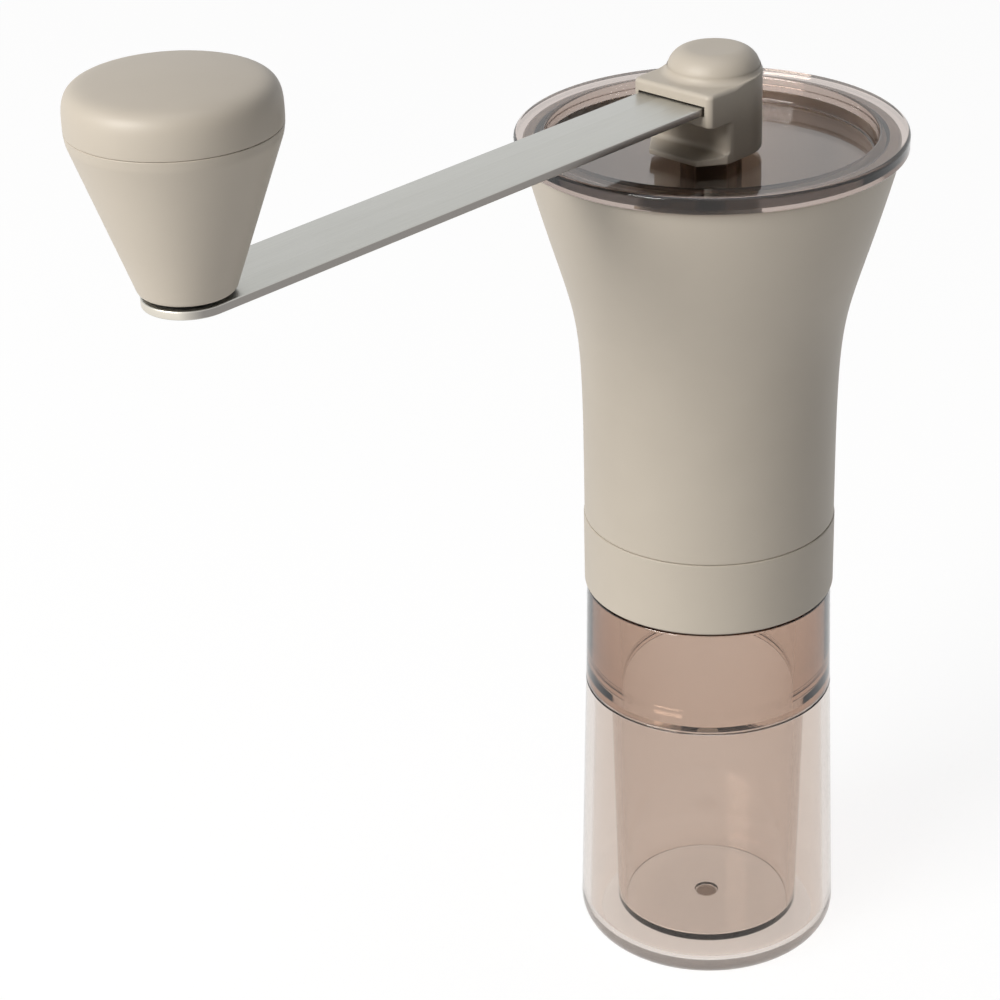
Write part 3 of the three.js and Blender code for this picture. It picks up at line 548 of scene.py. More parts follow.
zone_top = burr_foot + zone_height
zone_bottom_radius = burr_throat + zone_slope * zone_height
bore_share = np.linspace(0, 1, 13)[:, None]
zone_rows = np.hstack([
    burr_throat + (zone_bottom_radius - burr_throat) * bore_share,
    zone_top + (burr_foot - zone_top) * bore_share,
    0 * bore_share,
    -tooth_depth * np.minimum(1, 3 * bore_share),
])
mouth_rows = np.hstack([
    burr_mouth + (burr_throat - burr_mouth) * bore_share,
    burr_top + (zone_top - burr_top) * bore_share,
    -flute_depth * (1 - bore_share) ** 0.7,
    0 * bore_share,
])
outer_rows = [
    (burr_radius - burr_bevel, burr_foot, 0, 0),
    (burr_radius, burr_foot + burr_bevel, 0, 0),
    (burr_radius, burr_top - burr_bevel, 0, 0),
    (burr_radius - burr_bevel, burr_top, 0, 0),
]
ring_rows = np.vstack([outer_rows, mouth_rows, zone_rows[1:], outer_rows[:1]])
ring_burr = mesh_of("ring_burr", [toothed(ring_rows, burr_twist)], crease=burr_crease)
add_piece("ring_burr", ring_burr, ceramic, "mill", "outer_burr")

# -------- burr retainer
# A flat ring of black acetal, turned from the solid, that holds the ring burr up in its seat. Three small
# socket screws fix it, with their heads sunk into its underside.

retainer_bore = 15.4
retainer_edge = 0.06
retainer_facets = 128
sink_depth = 0.9
screw_radius = 0.9
head_radius = 1.7
screw_bevel = 0.15
socket_radius = 0.75
socket_depth = 0.5
screw_point = (0.4, 0.5)  # across and along
screw_gap = 0.05
screw_facets = 32


def lifted(outline, height):
    """An outline as a row of points at one height."""
    return np.column_stack([outline, np.full(len(outline), height)])


def walls(rows):
    """Grid that joins outlines which match point for point, given as rows of an outline and its height."""
    return np.stack([lifted(outline, height) for outline, height in rows])


def ring_outline(radius, sides, centre=(0, 0)):
    """A regular polygon about a centre, anticlockwise, with its first corner towards +X."""
    return around(radius, np.linspace(0, TURN, sides + 1)) + centre


def plate(outline, holes, height, up):
    """A flat face inside an outline and outside its holes, cut into triangles that face up or down."""
    loops = [lifted(loop[:-1], height) for loop in (outline, *holes)]
    triangles = np.array(tessellate_polygon([loop.tolist() for loop in loops]))
    points = np.concatenate(loops)
    a, b, c = points[triangles].transpose(1, 0, 2)
    facing = (b - a)[:, 0] * (c - a)[:, 1] - (b - a)[:, 1] * (c - a)[:, 0]
    return points, triangles if (facing.sum() > 0) == up else triangles[:, ::-1]


retainer_radius, retainer_foot, retainer_top = extent("burr_retainer")
face_radius = retainer_radius - retainer_edge
screw_nodes = ("retainer_screw_1", "retainer_screw_2", "retainer_screw_3")
screw_spots = [(span(name)[0] + span(name)[1])[:2] / 2 for name in screw_nodes]
sinks = [ring_outline(head_radius + screw_gap, screw_facets, spot) for spot in screw_spots]
shanks = [ring_outline(screw_radius + screw_gap, screw_facets, spot) for spot in screw_spots]
sink_top = retainer_foot + sink_depth
bore_rows = [(retainer_bore, retainer_top), (retainer_bore, retainer_foot)]
rim_rows = [
    (face_radius, retainer_foot),
    (retainer_radius, retainer_foot + retainer_edge),
    (retainer_radius, retainer_top - retainer_edge),
    (face_radius, retainer_top),
]
retainer_grids = [lathe(rows, retainer_facets) for rows in (bore_rows, rim_rows)] + [
    walls([(shank, retainer_top), (shank, sink_top), (sink, sink_top), (sink, retainer_foot)])
    for sink, shank in zip(sinks, shanks)
]
face_edge = ring_outline(face_radius, retainer_facets)
bore_edge = ring_outline(retainer_bore, retainer_facets)
retainer_faces = [
    plate(face_edge, [bore_edge, *sinks], retainer_foot, False),
    plate(face_edge, [bore_edge, *shanks], retainer_top, True),
]

acetal, add, place = new_finish("black acetal, turned")
# Acetal is a waxy, slightly grey black with a soft wide highlight and fine concentric tool marks.
mottle = add("TexNoise", {"Vector": place, "Scale": per(3), "Detail": 2.0})
marks = {"Vector": place, "Scale": per(0.5) / TURN, "Distortion": 1.0}
tooling = add("TexWave", marks, wave_type="RINGS", rings_direction="Z")
opaque(add, mottle, ("262422", "302D2A"), {"Roughness": 0.42, "IOR": 1.48}, tooling, 0.08, 0.03)
retainer_mesh = mesh_of("retaining_ring", retainer_grids, retainer_faces)
add_piece("retaining_ring", retainer_mesh, acetal, "mill", "burr_retainer")

turned_steel, add, place = new_finish("stainless steel, turned")
# Turning leaves fine rings round the axis: grooves a few hundredths of a millimetre apart, drawn coarser here
# so that they show, and they pull each highlight out into a line along the piece.
feed = add("Mapping", {"Vector": place, "Scale": (per(6), per(6), per(0.15))})
rings = add("TexNoise", {"Vector": feed, "Scale": 1.0, "Detail": 3.0})
gloss = add("MapRange", {0: rings, "To Min": 0.24, "To Max": 0.34})
opaque(add, rings, ("A9A9A6", "BCBCB8"), {"Metallic": 1.0, "Roughness": gloss}, rings, 0.1, 0.03)

_, screw_foot, screw_top = extent(screw_nodes[0])
head_top = screw_foot + sink_depth - screw_gap
socket_top = screw_foot + socket_depth
screw_rows = [
    (head_radius - screw_bevel, screw_foot),
    (head_radius, screw_foot + screw_bevel),
    (head_radius, head_top),
    (screw_radius, head_top),
    (screw_radius, screw_top - screw_point[1]),
    (screw_radius - screw_point[0], screw_top),
    (0, screw_top),
]
for number, (node, spot) in enumerate(zip(screw_nodes, screw_spots), 1):
    socket = ring_outline(socket_radius, 6, spot)
    face = ring_outline(head_radius - screw_bevel, screw_facets, spot)
    screw_mesh = mesh_of(
        f"socket_screw_{number}",
        [lathe(screw_rows, screw_facets, spot), walls([(socket, socket_top), (socket, screw_foot)])],
        [plate(face, [socket], screw_foot, False), plate(socket, [], socket_top, False)],
    )
    add_piece(f"socket_screw_{number}", screw_mesh, turned_steel, "mill", node)

# -------- hopper body
# The upper body, one ABS moulding: a thin wall that flares to a rim with a rebate for the lid, and a bridge
# of three arms inside it that carries the two bearings.

waist_rise = 10.8
waist_handle = 40.5
rim_radius = 36.8
rim_slope = 0.26
rim_handle = 37.4
rim_round = 0.8
rebate_depth = 3.8
rebate_radius = 34.35
boss_radius = 6.6
boss_bore = 3.25
bridge_height = 14.0
beam_width = 3.0
beam_height = 8.0
beam_edge = 0.5
flare_steps = 60


def cubic(ends, share):
    """Points of the Bezier curve sum of C(3, k) s^k (1 - s)^(3 - k) P_k for every share s."""
    weights = np.stack([math.comb(3, k) * share**k * (1 - share) ** (3 - k) for k in range(4)], axis=-1)
    return weights @ np.asarray(ends, float)


waist_top = hopper_foot + waist_rise
flare_ends = [
    (waist_radius, waist_top),
    (waist_radius, waist_top + waist_handle),
    (rim_radius - rim_slope * rim_handle, rim_top - rim_handle),
    (rim_radius, rim_top),
]
flare = cubic(flare_ends, np.linspace(0, 1, flare_steps + 1))
outside = flare[flare[:, 1] < rim_top - 1.5 * rim_round]
inside = (flare - (hopper_wall, 0))[flare[:, 1] < rim_top - rebate_depth - 0.5][::-1]
bore = waist_radius - hopper_wall
foot_corners = [
    (bore, waist_top, 0),
    (bore, hopper_foot, 0.3),
    (waist_radius, hopper_foot, 0.3),
    (waist_radius, waist_top, 0),
]
rim_corners = [
    (*outside[-1], 0),
    (rim_radius - 0.1, rim_top, rim_round),
    (rebate_radius, rim_top, 0.25),
    (rebate_radius, rim_top - rebate_depth, 0.2),
    (inside[0, 0], rim_top - rebate_depth, 0.4),
    (*inside[0], 0),
]
foot_profile = rounded(foot_corners, 4, opened=True)
wall_profile = closed(np.vstack([foot_profile, outside, rounded(rim_corners, opened=True), inside]))
bridge_top = waist_top + bridge_height
boss_corners = [
    (boss_bore, waist_top, 0),
    (boss_radius, waist_top, 0.4),
    (boss_radius, bridge_top, 0.4),
    (boss_bore, bridge_top, 0),
]


def rectangle(left, low, right, high, edge, steps=3):
    """Outline of a rectangle with rounded corners, anticlockwise."""
    return rounded([(left, low, edge), (right, low, edge), (right, high, edge), (left, high, edge)], steps)


def rounded_beam(angle, inner, outer, width, low, high, edge):
    """A beam along a radius: a rounded rectangle carried from one radius to another and closed at both ends,
    where the section shrinks to its middle."""
    section = rectangle(-width / 2, low, width / 2, high, edge, 4)
    along = np.array([inner, inner, outer, outer])[:, None]
    swell = np.array([0, 1, 1, 0])[:, None]
    middle = (low + high) / 2
    x = along * math.cos(angle) - swell * section[:, 0] * math.sin(angle)
    y = along * math.sin(angle) + swell * section[:, 0] * math.cos(angle)
    return np.stack([x, y, middle + swell * (section[:, 1] - middle)], axis=-1)


beam_top = bridge_top - (bridge_height - beam_height) / 2
beam = (boss_radius - 1, bore + 0.5, beam_width, beam_top - beam_height, beam_top, beam_edge)
beams = [rounded_beam(turn, *beam) for turn in (0, TURN / 3, 2 * TURN / 3)]
hopper_grids = [lathe(wall_profile), turned(boss_corners, facets=96), *beams]
add_piece("hopper", hopper_grids, abs_plastic, "mill", "hopper_body")

# -------- bushes
# Two flanged bearings for the shaft, moulded in black acetal and pressed into the boss from below and from
# above.

bush_flange = 1.0
bush_sleeve_radius = 4.6
bush_bore = 3.06
for name, node, rising in (("lower_bearing", "lower_bush", True), ("upper_bearing", "upper_bush", False)):
    flange_radius, foot, top = extent(node)
    face, tip = (foot, top) if rising else (top, foot)
    shoulder = face + bush_flange * (1 if rising else -1)
    bush_corners = [
        (bush_bore, face, 0.15),
        (flange_radius, face, 0.2),
        (flange_radius, shoulder, 0.15),
        (bush_sleeve_radius, shoulder, 0.1),
        (bush_sleeve_radius, tip, 0.25),
        (bush_bore, tip, 0.15),
    ]
    add_piece(name, [turned(bush_corners if rising else bush_corners[::-1], 4, 96)], acetal, "mill", node)

# -------- shaft
# The drive shaft, one bar of stainless steel: a turned journal, a hexagon milled at the top for the crank,
# two flats that drive the burr, and a rolled thread below them for the grind nut.

shaft_radius = 3.0
shaft_chamfer = 0.4
thread_pitch = 0.8
thread_depth = 0.42
thread_radius = 2.3
thread_bevel = 0.2
flats_half = 2.35
groove_width = 1.0
groove_depth = 0.4
hex_width = 5.1
hex_bottom = 179.0
hex_bevel = 0.1
shaft_columns = 96
shaft_angle = np.linspace(0, TURN, shaft_columns + 1)


def carved(rows):
    """Grid of (r cos t, r sin t, z) over a full turn of t, for rows of r, which may vary with t, and z."""
    return np.stack([around(radius, shaft_angle, height) for radius, height in rows])


def flatted(radius, half):
    """Radius of a bar with two flats: the lesser of its radius and half its width over |sin t|."""
    return np.minimum(radius, half / np.maximum(np.abs(np.sin(shaft_angle)), 1e-6))


def thread_rows(crest, root, low, high):
    """Rows of a helical thread: at a height, its flank is a triangle wave of (z / pitch - t / 2 pi)."""
    heights = np.linspace(low, high, 1 + 10 * round((high - low) / thread_pitch))
    waves = [np.abs(2 * ((height / thread_pitch - shaft_angle / TURN) % 1) - 1) for height in heights]
    return [(crest + (root - crest) * wave, height) for wave, height in zip(waves, heights)]


def hexagon(across_flats, angle):
    """Radius of a regular hexagon: half its width over the cosine of the angle from the nearest flat."""
    return across_flats / 2 / np.cos(angle % (TURN / 6) - TURN / 12)


_, shaft_foot, shaft_top = extent("drive_shaft")
clip_radius, clip_foot, clip_top = extent("shaft_clip", axis=1)
nut_radius, nut_foot, nut_top = extent("adjust_nut")
flats_top = extent("spring_washer")[2] + touch_gap
thread_top = nut_top + touch_gap
thread_root = thread_radius - thread_depth
groove_top = clip_foot + groove_width
core_radius = shaft_radius - groove_depth
drive_flats = flatted(shaft_radius, flats_half)
hex_radii = hexagon(hex_width, shaft_angle)
shaft_grid = carved([
    (0, shaft_foot),
    (thread_root - thread_bevel, shaft_foot),
    (thread_root, shaft_foot + thread_bevel),
    *thread_rows(thread_radius, thread_root, shaft_foot + thread_bevel, thread_top),
    (drive_flats, thread_top),
    (drive_flats, flats_top),
    (shaft_radius, flats_top),
    (shaft_radius, clip_foot),
    (core_radius, clip_foot),
    (core_radius, groove_top),
    (shaft_radius, groove_top),
    (shaft_radius, hex_bottom),
    (hex_radii, hex_bottom),
    (hex_radii, shaft_top - shaft_chamfer),
    (np.minimum(hex_radii, hex_width / 2 - hex_bevel), shaft_top),
    (0, shaft_top),
])
add_piece("shaft", [shaft_grid], turned_steel, "shaft", "drive_shaft")

# -------- shaft clip and washers
# Stamped spring-steel parts: an open clip that snaps into the shaft's groove and hangs it on a thrust washer,
# and a second washer between the spring and the burr.

clip_mouth = 1.7
lug_width = math.radians(16)
clip_grip = 0.1
clip_relief = 0.9


def prism(outline, low, high):
    """The wall and the two end faces of a closed upright prism over an outline."""
    ends = [plate(outline, [], low, False), plate(outline, [], high, True)]
    return [walls([(outline, low), (outline, high)])], ends


clip_start = math.asin(clip_mouth / clip_radius)
clip_angle = np.linspace(clip_start, TURN - clip_start, 90)
lug_distance = np.abs(clip_angle[:, None] - np.array([TURN / 4, TURN / 2, 3 * TURN / 4])).min(axis=1)
clip_bore = np.where(lug_distance < lug_width, core_radius + clip_grip, core_radius + clip_relief)
clip_outline = closed(np.vstack([around(clip_radius, clip_angle), around(clip_bore, clip_angle)[::-1]]))
clip_mesh = mesh_of("snap_clip", *prism(clip_outline, clip_foot, clip_top))
add_piece("snap_clip", clip_mesh, turned_steel, "shaft", "shaft_clip")


def washer(node, bore, edge, centre=(0, 0)):
    """Grid of a flat washer with rounded edges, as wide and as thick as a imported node."""
    radius, foot, top = extent(node, axis=1)
    return lathe(rectangle(bore, foot, radius, top, edge), 96, centre)


washers = (("bearing_washer", "shaft", "thrust_washer"), ("spring_seat", "burr", "spring_washer"))
for name, body, node in washers:
    add_piece(name, [washer(node, bush_bore, 0.12)], turned_steel, body, node)

# -------- spring
# A short compression spring, cold wound from round steel wire, that presses the inner burr down on the nut.
# It is not attached to the shaft or the burr.

wire_radius = 0.6
coil_radius = 4.6
coil_turns = 3.5
coil_steps = 40


def swept_tube(path, radius, sides=14):
    """Closed tube round a path: circles square to it, over an outward and an upward direction."""
    forward = np.gradient(path, axis=0)
    forward /= np.linalg.norm(forward, axis=1, keepdims=True)
    outward = np.column_stack([path[:, 0], path[:, 1], np.zeros(len(path))])
    outward /= np.linalg.norm(outward, axis=1, keepdims=True)
    upward = np.cross(outward, forward)
    around = -np.linspace(0, TURN, sides + 1)[:, None]
    ring = outward[:, None] * np.cos(around) + upward[:, None] * np.sin(around)
    ends = [np.repeat(path[end][None, None], sides + 1, axis=1) for end in (0, -1)]
    return np.concatenate([ends[0], path[:, None] + radius * ring, ends[1]])


_, spring_foot, spring_top = extent("spring")
coil_share = np.linspace(0, 1, round(coil_steps * coil_turns) + 1)
coil_foot = spring_foot + wire_radius
coil_rise = spring_top - wire_radius - coil_foot
coil_path = around(coil_radius, TURN * coil_turns * coil_share, coil_foot + coil_rise * coil_share)
coil = add_piece("coil_spring", [swept_tube(coil_path, wire_radius)], turned_steel, None, "spring")
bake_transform(coil)

# -------- inner burr
# The cone burr, of the same fired ceramic: long spiral blades that draw the beans in, fine teeth on the
# grinding zone below them, and slots in its foot for the carrier's keys.

burr_gap = 0.3
cone_skirt = 0.6
cone_top_radius = 7.0
cone_bore = 4.4
cone_bevel = 0.2
key_width = 3.0
key_height = 1.2
key_gap = 0.1


def cut(mesh, cutter):
    """The mesh with the cutter's mesh taken out of it."""
    body, tool = add_object("body", mesh), add_object("tool", cutter)
    step = body.modifiers.new("cut", "BOOLEAN")
    step.operation = "DIFFERENCE"
    step.solver = "EXACT"
    step.object = tool
    made = bpy.data.meshes.new_from_object(body.evaluated_get(bpy.context.evaluated_depsgraph_get()))
    for shape in (body, tool):
        bpy.data.objects.remove(shape)
    made.shade_smooth()
    made.set_sharp_from_angle(angle=math.radians(crease_angle))
    return made


_, cone_foot, cone_top = extent("inner_burr")
carrier_radius, carrier_foot, carrier_top = extent("burr_carrier")
zone_top_radius = burr_throat - burr_gap
skirt_reach = zone_top_radius + zone_slope * zone_height
skirt_top = cone_foot + cone_skirt
zone_share = np.linspace(0, 1, 10)[:, None]
# The blades start part of the way up the teeth, deepen up the cone, and end a little shallower at its top.
tooth_rows = np.hstack([
    skirt_reach + (zone_top_radius - skirt_reach) * zone_share,
    skirt_top + (zone_top - skirt_top) * zone_share,
    1.2 * np.maximum(0, zone_share - 0.4),
    tooth_depth * (1 - 0.6 * zone_share),
])
blade_share = np.linspace(0, 1, 22)[1:, None]
blade_rows = np.hstack([
    zone_top_radius + (cone_top_radius - zone_top_radius) * blade_share,
    zone_top + (cone_top - zone_top) * blade_share,
    0.72 + 2.6 * np.sin(math.pi * blade_share * 0.8),
    tooth_depth * 0.4 * np.maximum(0, 1 - 4 * blade_share),
])
cone_rows = np.vstack([
    [(cone_bore, cone_top, 0, 0), (cone_bore, cone_foot, 0, 0)],
    [(skirt_reach - cone_bevel, cone_foot, 0, 0), (skirt_reach, cone_foot + cone_bevel, 0, 0)],
    tooth_rows,
    blade_rows,
    [(cone_bore, cone_top, 0, 0)],
])
cone_mesh = mesh_of("cone_burr", [toothed(cone_rows, -2 * burr_twist)], crease=burr_crease)
key_half = key_width / 2 + key_gap
key_reach = carrier_radius + key_gap
key_slot = [(-key_reach, -key_half), (key_reach, -key_half), (key_reach, key_half), (-key_reach, key_half)]
slot_tool = mesh_of("slot", *prism(closed(key_slot), cone_foot - 1, cone_foot + key_height + key_gap))
add_piece("cone_burr", cut(cone_mesh, slot_tool), ceramic, "burr", "inner_burr")

# -------- burr carrier
# A black acetal carrier: a flange under the cone with two keys in its slots, and a sleeve up its bore that
# slides on the shaft's flats and takes the turn from them.

carrier_flange = 1.6
carrier_edge = 0.2
sleeve_radius = 4.3
sleeve_bevel = 0.3
key_inner = 5
key_outer = 8.7
key_root = 0.1
running_gap = 0.06

flange_top = carrier_foot + carrier_flange
drive_bore = flatted(shaft_radius + running_gap, flats_half + running_gap)
carrier_grid = carved([
    (drive_bore, carrier_foot),
    (carrier_radius - carrier_edge, carrier_foot),
    (carrier_radius, carrier_foot + carrier_edge),
    (carrier_radius, flange_top),
    (sleeve_radius, flange_top),
    (sleeve_radius, carrier_top - sleeve_bevel),
    (sleeve_radius - sleeve_bevel, carrier_top),
    (drive_bore, carrier_top),
    (drive_bore, carrier_foot),
])
key_plan = rectangle(key_inner, -key_width / 2, key_outer, key_width / 2, carrier_edge)
keys = [prism(side * key_plan, flange_top - key_root, cone_foot + key_height) for side in (1, -1)]
key_walls, key_faces = [sum(parts, []) for parts in zip(*keys)]
carrier_mesh = mesh_of("drive_carrier", [carrier_grid, *key_walls], key_faces)
add_piece("drive_carrier", carrier_mesh, acetal, "burr", "burr_carrier")

# -------- click plate and grind nut
# The click plate is stamped steel with a waved rim, which turns with the shaft. The black acetal nut below it
# has lobes for finger and thumb, and sets how far apart the burrs run.

click_depth = 0.5
click_count = 12
click_edge = 0.12
lobe_depth = 0.8
lobe_count = 8
nut_edge = 0.8
nut_groove = (4.2, 4.6, 6.0, 6.3)
nut_groove_depth = 0.6


def waved(radius, depth, count):
    """Radius of a waved rim: its radius less half its depth times (1 - cos(count * t))."""
    return radius - depth * (1 - np.cos(count * shaft_angle)) / 2


def bend(steps):
    """Pairs (1 - sin a, 1 - cos a) over a quarter turn: how far a bend has to go, and how far it rose."""
    angle = np.linspace(0, TURN / 4, steps)
    return list(zip(1 - np.sin(angle), 1 - np.cos(angle)))


click_radius, click_foot, click_top = extent("click_plate")
click_rim = waved(click_radius, click_depth, click_count)
click_grid = carved([
    (drive_bore, click_foot),
    (click_rim - click_edge, click_foot),
    (click_rim, click_foot + click_edge),
    (click_rim, click_top - click_edge),
    (click_rim - click_edge, click_top),
    (drive_bore, click_top),
    (drive_bore, click_foot),
])
add_piece("waved_plate", [click_grid], turned_steel, "burr", "click_plate")

lobes = waved(nut_radius, lobe_depth, lobe_count)
nut_bore = thread_radius + running_gap
nut_thread = thread_rows(nut_bore, nut_bore + thread_depth, nut_foot, nut_top)
nut_grid = carved([
    *nut_thread[::-1],
    (nut_groove[0], nut_foot),
    (nut_groove[1], nut_foot + nut_groove_depth),
    (nut_groove[2], nut_foot + nut_groove_depth),
    (nut_groove[3], nut_foot),
    *[(lobes - nut_edge * left, nut_foot + nut_edge * risen) for left, risen in bend(5)],
    *[(lobes - nut_edge / 2 * risen, nut_top - nut_edge / 2 * left) for left, risen in bend(5)],
    nut_thread[-1],
])
add_piece("grind_nut", [nut_grid], acetal, "nut", "adjust_nut")

# -------- lid
# A dished lid, moulded in the same smoke acrylic: a flat rim on the hopper's edge, a skirt that drops into
# the rebate, and a tube in the middle of its floor that guides the shaft.

lid_rim_width = 5.9
lid_depth = 4.8
lid_wall = 1.8
lid_floor = 1.7
lid_draft = 0.6
lid_lift = 0.1
lid_tube_radius = 6.0
lid_tube_play = 0.25
lid_tube_collar = 0.5
lid_edge = 0.7

lid_radius, lid_foot, lid_top = extent("lid")
lid_flange = rim_top + lid_lift
recess_radius = lid_radius - lid_rim_width
floor_top = lid_top - lid_depth
floor_low = floor_top - lid_floor
skirt_radius = recess_radius + lid_wall
guide_bore = shaft_radius + lid_tube_play
lid_corners = [
    (guide_bore, lid_foot, 0.2),
    (lid_tube_radius, lid_foot, 0.4),
    (lid_tube_radius, floor_low, 0.5),
    (skirt_radius, floor_low, lid_edge),
    (skirt_radius, lid_flange, 0.2),
    (lid_radius, lid_flange, lid_edge / 2),
    (lid_radius, lid_top, lid_edge),
    (recess_radius, lid_top, 0.5),
    (recess_radius - lid_draft, floor_top, 0.7),
    (lid_tube_radius, floor_top, 0.25),
    (lid_tube_radius, floor_top + lid_tube_collar, 0.3),
    (guide_bore, floor_top + lid_tube_collar, 0.2),
]
deep_smoke, add, place = new_finish("smoke acrylic, thick and polished")
polish(add, place, "FAF6F4", "B9A597", 215, "8E8078")
add_piece("dished_lid", [turned(lid_corners, 10)], deep_smoke, "lid", "lid")

# -------- crank arm
# A flat bar of stainless steel, blanked with round ends, deburred and brushed along its length. It is moulded
# into the hub at one end and riveted to the knob at the other.

arm_edge = 0.3
arm_round_steps = 28
hex_gap = 0.1
axle_radius = 2.0

arm_half, arm_foot, arm_top = extent("crank_arm", axis=1)
knob_x = span("crank_arm")[0][0] + arm_half
knob_spot = (knob_x, 0)
hex_radius = hex_width / math.sqrt(3) + hex_gap


def stadium(inset):
    """The bar's outline, two half circles joined by straight sides, drawn in by an inset."""
    half = arm_half - inset
    return rectangle(knob_x - half, -half, half, half, half, arm_round_steps)


bar_rows = [(stadium(arm_edge * left), arm_foot + arm_edge * risen) for left, risen in bend(5)]
bar_rows += [(stadium(arm_edge * risen), arm_top - arm_edge * left) for left, risen in bend(5)]
holes = [ring_outline(hex_radius, 6), ring_outline(axle_radius + running_gap, 32, knob_spot)]
bar_grids = [walls(bar_rows), *[walls([(hole, arm_top), (hole, arm_foot)]) for hole in holes]]
bar_faces = [plate(stadium(arm_edge), holes, level, up) for level, up in ((arm_foot, False), (arm_top, True))]

brushed, add, place = new_finish("stainless steel, brushed along its length")
# Brushing leaves long fine lines, drawn coarser here so that they show, and they spread each highlight across
# the bar. The blanked sides are dull and darker where they run straight, and a painted highlight makes them
# pale round the ends.
stretch = add("Mapping", {"Vector": place, "Scale": (per(9), per(0.22), per(0.22))})
lines = add("TexNoise", {"Vector": stretch, "Scale": 1.0, "Detail": 4.0, "Roughness": 0.6})
cloud = add("TexNoise", {"Vector": place, "Scale": per(14), "Detail": 2.0})
tone = add("Mix", {0: lines, "A": "AEAEA9", "B": "BEBEB9"}, data_type="RGBA")
gloss = add("MapRange", {0: cloud, "To Min": 0.3, "To Max": 0.38})
facing = add("SeparateXYZ", {0: place.node.outputs["Normal"]}).outputs
sideways = add("Math", {0: facing["Y"]}, operation="ABSOLUTE")
upright = add("Math", {0: facing["Z"]}, operation="ABSOLUTE")
straight = add("MapRange", {0: sideways, "From Min": 0.6, "From Max": 0.92})
side = add("MapRange", {0: upright, "From Min": 0.75, "From Max": 0.35})
# Painted highlight: the sides are coloured pale round the bar's ends and darker along its straight runs.
sides_with_painted_highlight = add("Mix", {0: straight, "A": "DED8CC", "B": "8E8A86"}, data_type="RGBA")
opaque(add, side, (tone, sides_with_painted_highlight), {"Metallic": 1.0, "Roughness": gloss}, lines, 0.12, 0.05)
add_piece("arm_bar", mesh_of("arm_bar", bar_grids, bar_faces), brushed, "crank", "crank_arm")

# -------- crank hub
# The hub, moulded in the same greige ABS round the end of the bar: a mouth that grips the bar, a soft dome
# above the shaft, a narrower neck under the mouth, and a foot with a flat tongue that points along the bar.

mouth_reach = 12.0
mouth_plan = (mouth_reach, (0.7, 0.7), 1.0)  # reach, lengths cut off each front corner, and rounding
neck_reach = 6.5
neck_plan = (neck_reach, (0.6, 0.6), 0.9)
tongue_reach = 11.5
tongue_plan = (tongue_reach, (4.8, 3.6), 0.5)
hub_back_radius = 9.75
back_roundness = 0.985
hub_half = 9.5
side_mark = 5.0
hub_jaw = 2.35
hub_shelf = 2.5
hub_edge = 0.9
hub_fillet = 1.4
hub_root = 0.7
hub_draft = 0.1
foot_edge = 0.3
tip_height = 1.1
tip_rise = 0.6
tip_edge = 0.3
tip_fillet = 0.9
dome_radius = 9.0
dome_round = 4.2
dome_step = 0.1
slot_play = (0.35, 0.12, 0.28)  # beside, under and over the bar

_, hub_foot, hub_top = extent("crank_hub")
jaw_low = arm_foot - hub_jaw
shelf_top = arm_top + hub_shelf


def hub_outline(reach, cut, corner, inset=0.0):
    """Plan of the hub: round at the back, then sides that run to a square front whose corners are cut off.

    A cut is its lengths a along the side and b across the front. Drawn in by an inset d, it gets shorter by
    the share d (a + b - sqrt(a^2 + b^2)) / (a b). Each side has a mark at the same place, so that outlines of
    different reach match point for point behind it."""
    back = hub_back_radius - inset
    half = hub_half - inset
    front = inset - reach
    share = max(1 - inset * (cut[0] + cut[1] - math.hypot(*cut)) / (cut[0] * cut[1]), 0.2)
    along, across = cut[0] * share, cut[1] * share
    size = max(corner - inset, 0.05)
    mark = half + (back - half) * (1 - side_mark / mouth_reach)
    ends = [
        (back, -back, back * back_roundness),
        (back, back, back * back_roundness),
        (-side_mark, mark, 0),
        (front + along, half, size),
        (front, half - across, size),
        (front, across - half, size),
        (front + along, -half, size),
        (-side_mark, -mark, 0),
    ]
    return rounded(ends, 12, runs=8, keep=True)


def between(inner, outer, distance, height):
    """A row of points some distance in mm from the inner outline towards the outer one, never past it."""
    gap = outer - inner
    length = np.maximum(np.linalg.norm(gap, axis=1, keepdims=True), 1e-9)
    step = np.clip(np.reshape(distance, (-1, 1)), 0, length)
    return np.column_stack([inner + gap / length * step, np.broadcast_to(height, len(inner))])


tongue, neck, mouth = [hub_outline(*plan) for plan in (tongue_plan, neck_plan, mouth_plan)]
tongue_gap = np.linalg.norm(tongue - neck, axis=1)
mouth_gap = np.linalg.norm(mouth - neck, axis=1)


def on_tongue(distance, lift):
    """A row over the tongue's top, which climbs evenly from tip to neck, some distance out, lifted."""
    row = between(neck, tongue, distance, 0.0)
    share = np.clip((row[:, 0] + tongue_reach) / (tongue_reach - neck_reach), 0, 1)
    row[:, 2] = hub_foot + tip_height + tip_rise * share + lift
    return row


hub_bend = bend(7)
foot_rows = [
    lifted(hub_outline(*tongue_plan, foot_edge * left), hub_foot + foot_edge * risen)
    for left, risen in hub_bend
]
tongue_rows = [on_tongue(tongue_gap - tip_edge * risen, -tip_edge * left) for left, risen in hub_bend]
tongue_rows += [
    on_tongue((tongue_gap - tip_edge) * (1 - share) + tip_fillet * share, hub_draft * share)
    for share in np.linspace(0, 1, 7)[1:-1]
]
tongue_rows += [on_tongue(tip_fillet * left, hub_draft + tip_fillet * risen) for left, risen in hub_bend]
neck_foot = hub_foot + tip_height + tip_rise + hub_draft + tip_fillet
neck_rows = [lifted(neck, level) for level in np.linspace(neck_foot, jaw_low - hub_root, 6)[1:-1]]
jaw_foot = jaw_low - hub_draft
jaw_edge = hub_edge / 2
jaw_rows = [between(neck, mouth, hub_root * risen, jaw_foot - hub_root * left) for left, risen in hub_bend]
jaw_rows += [
    between(neck, mouth, mouth_gap - jaw_edge * left, jaw_low + jaw_edge * risen) for left, risen in hub_bend
]
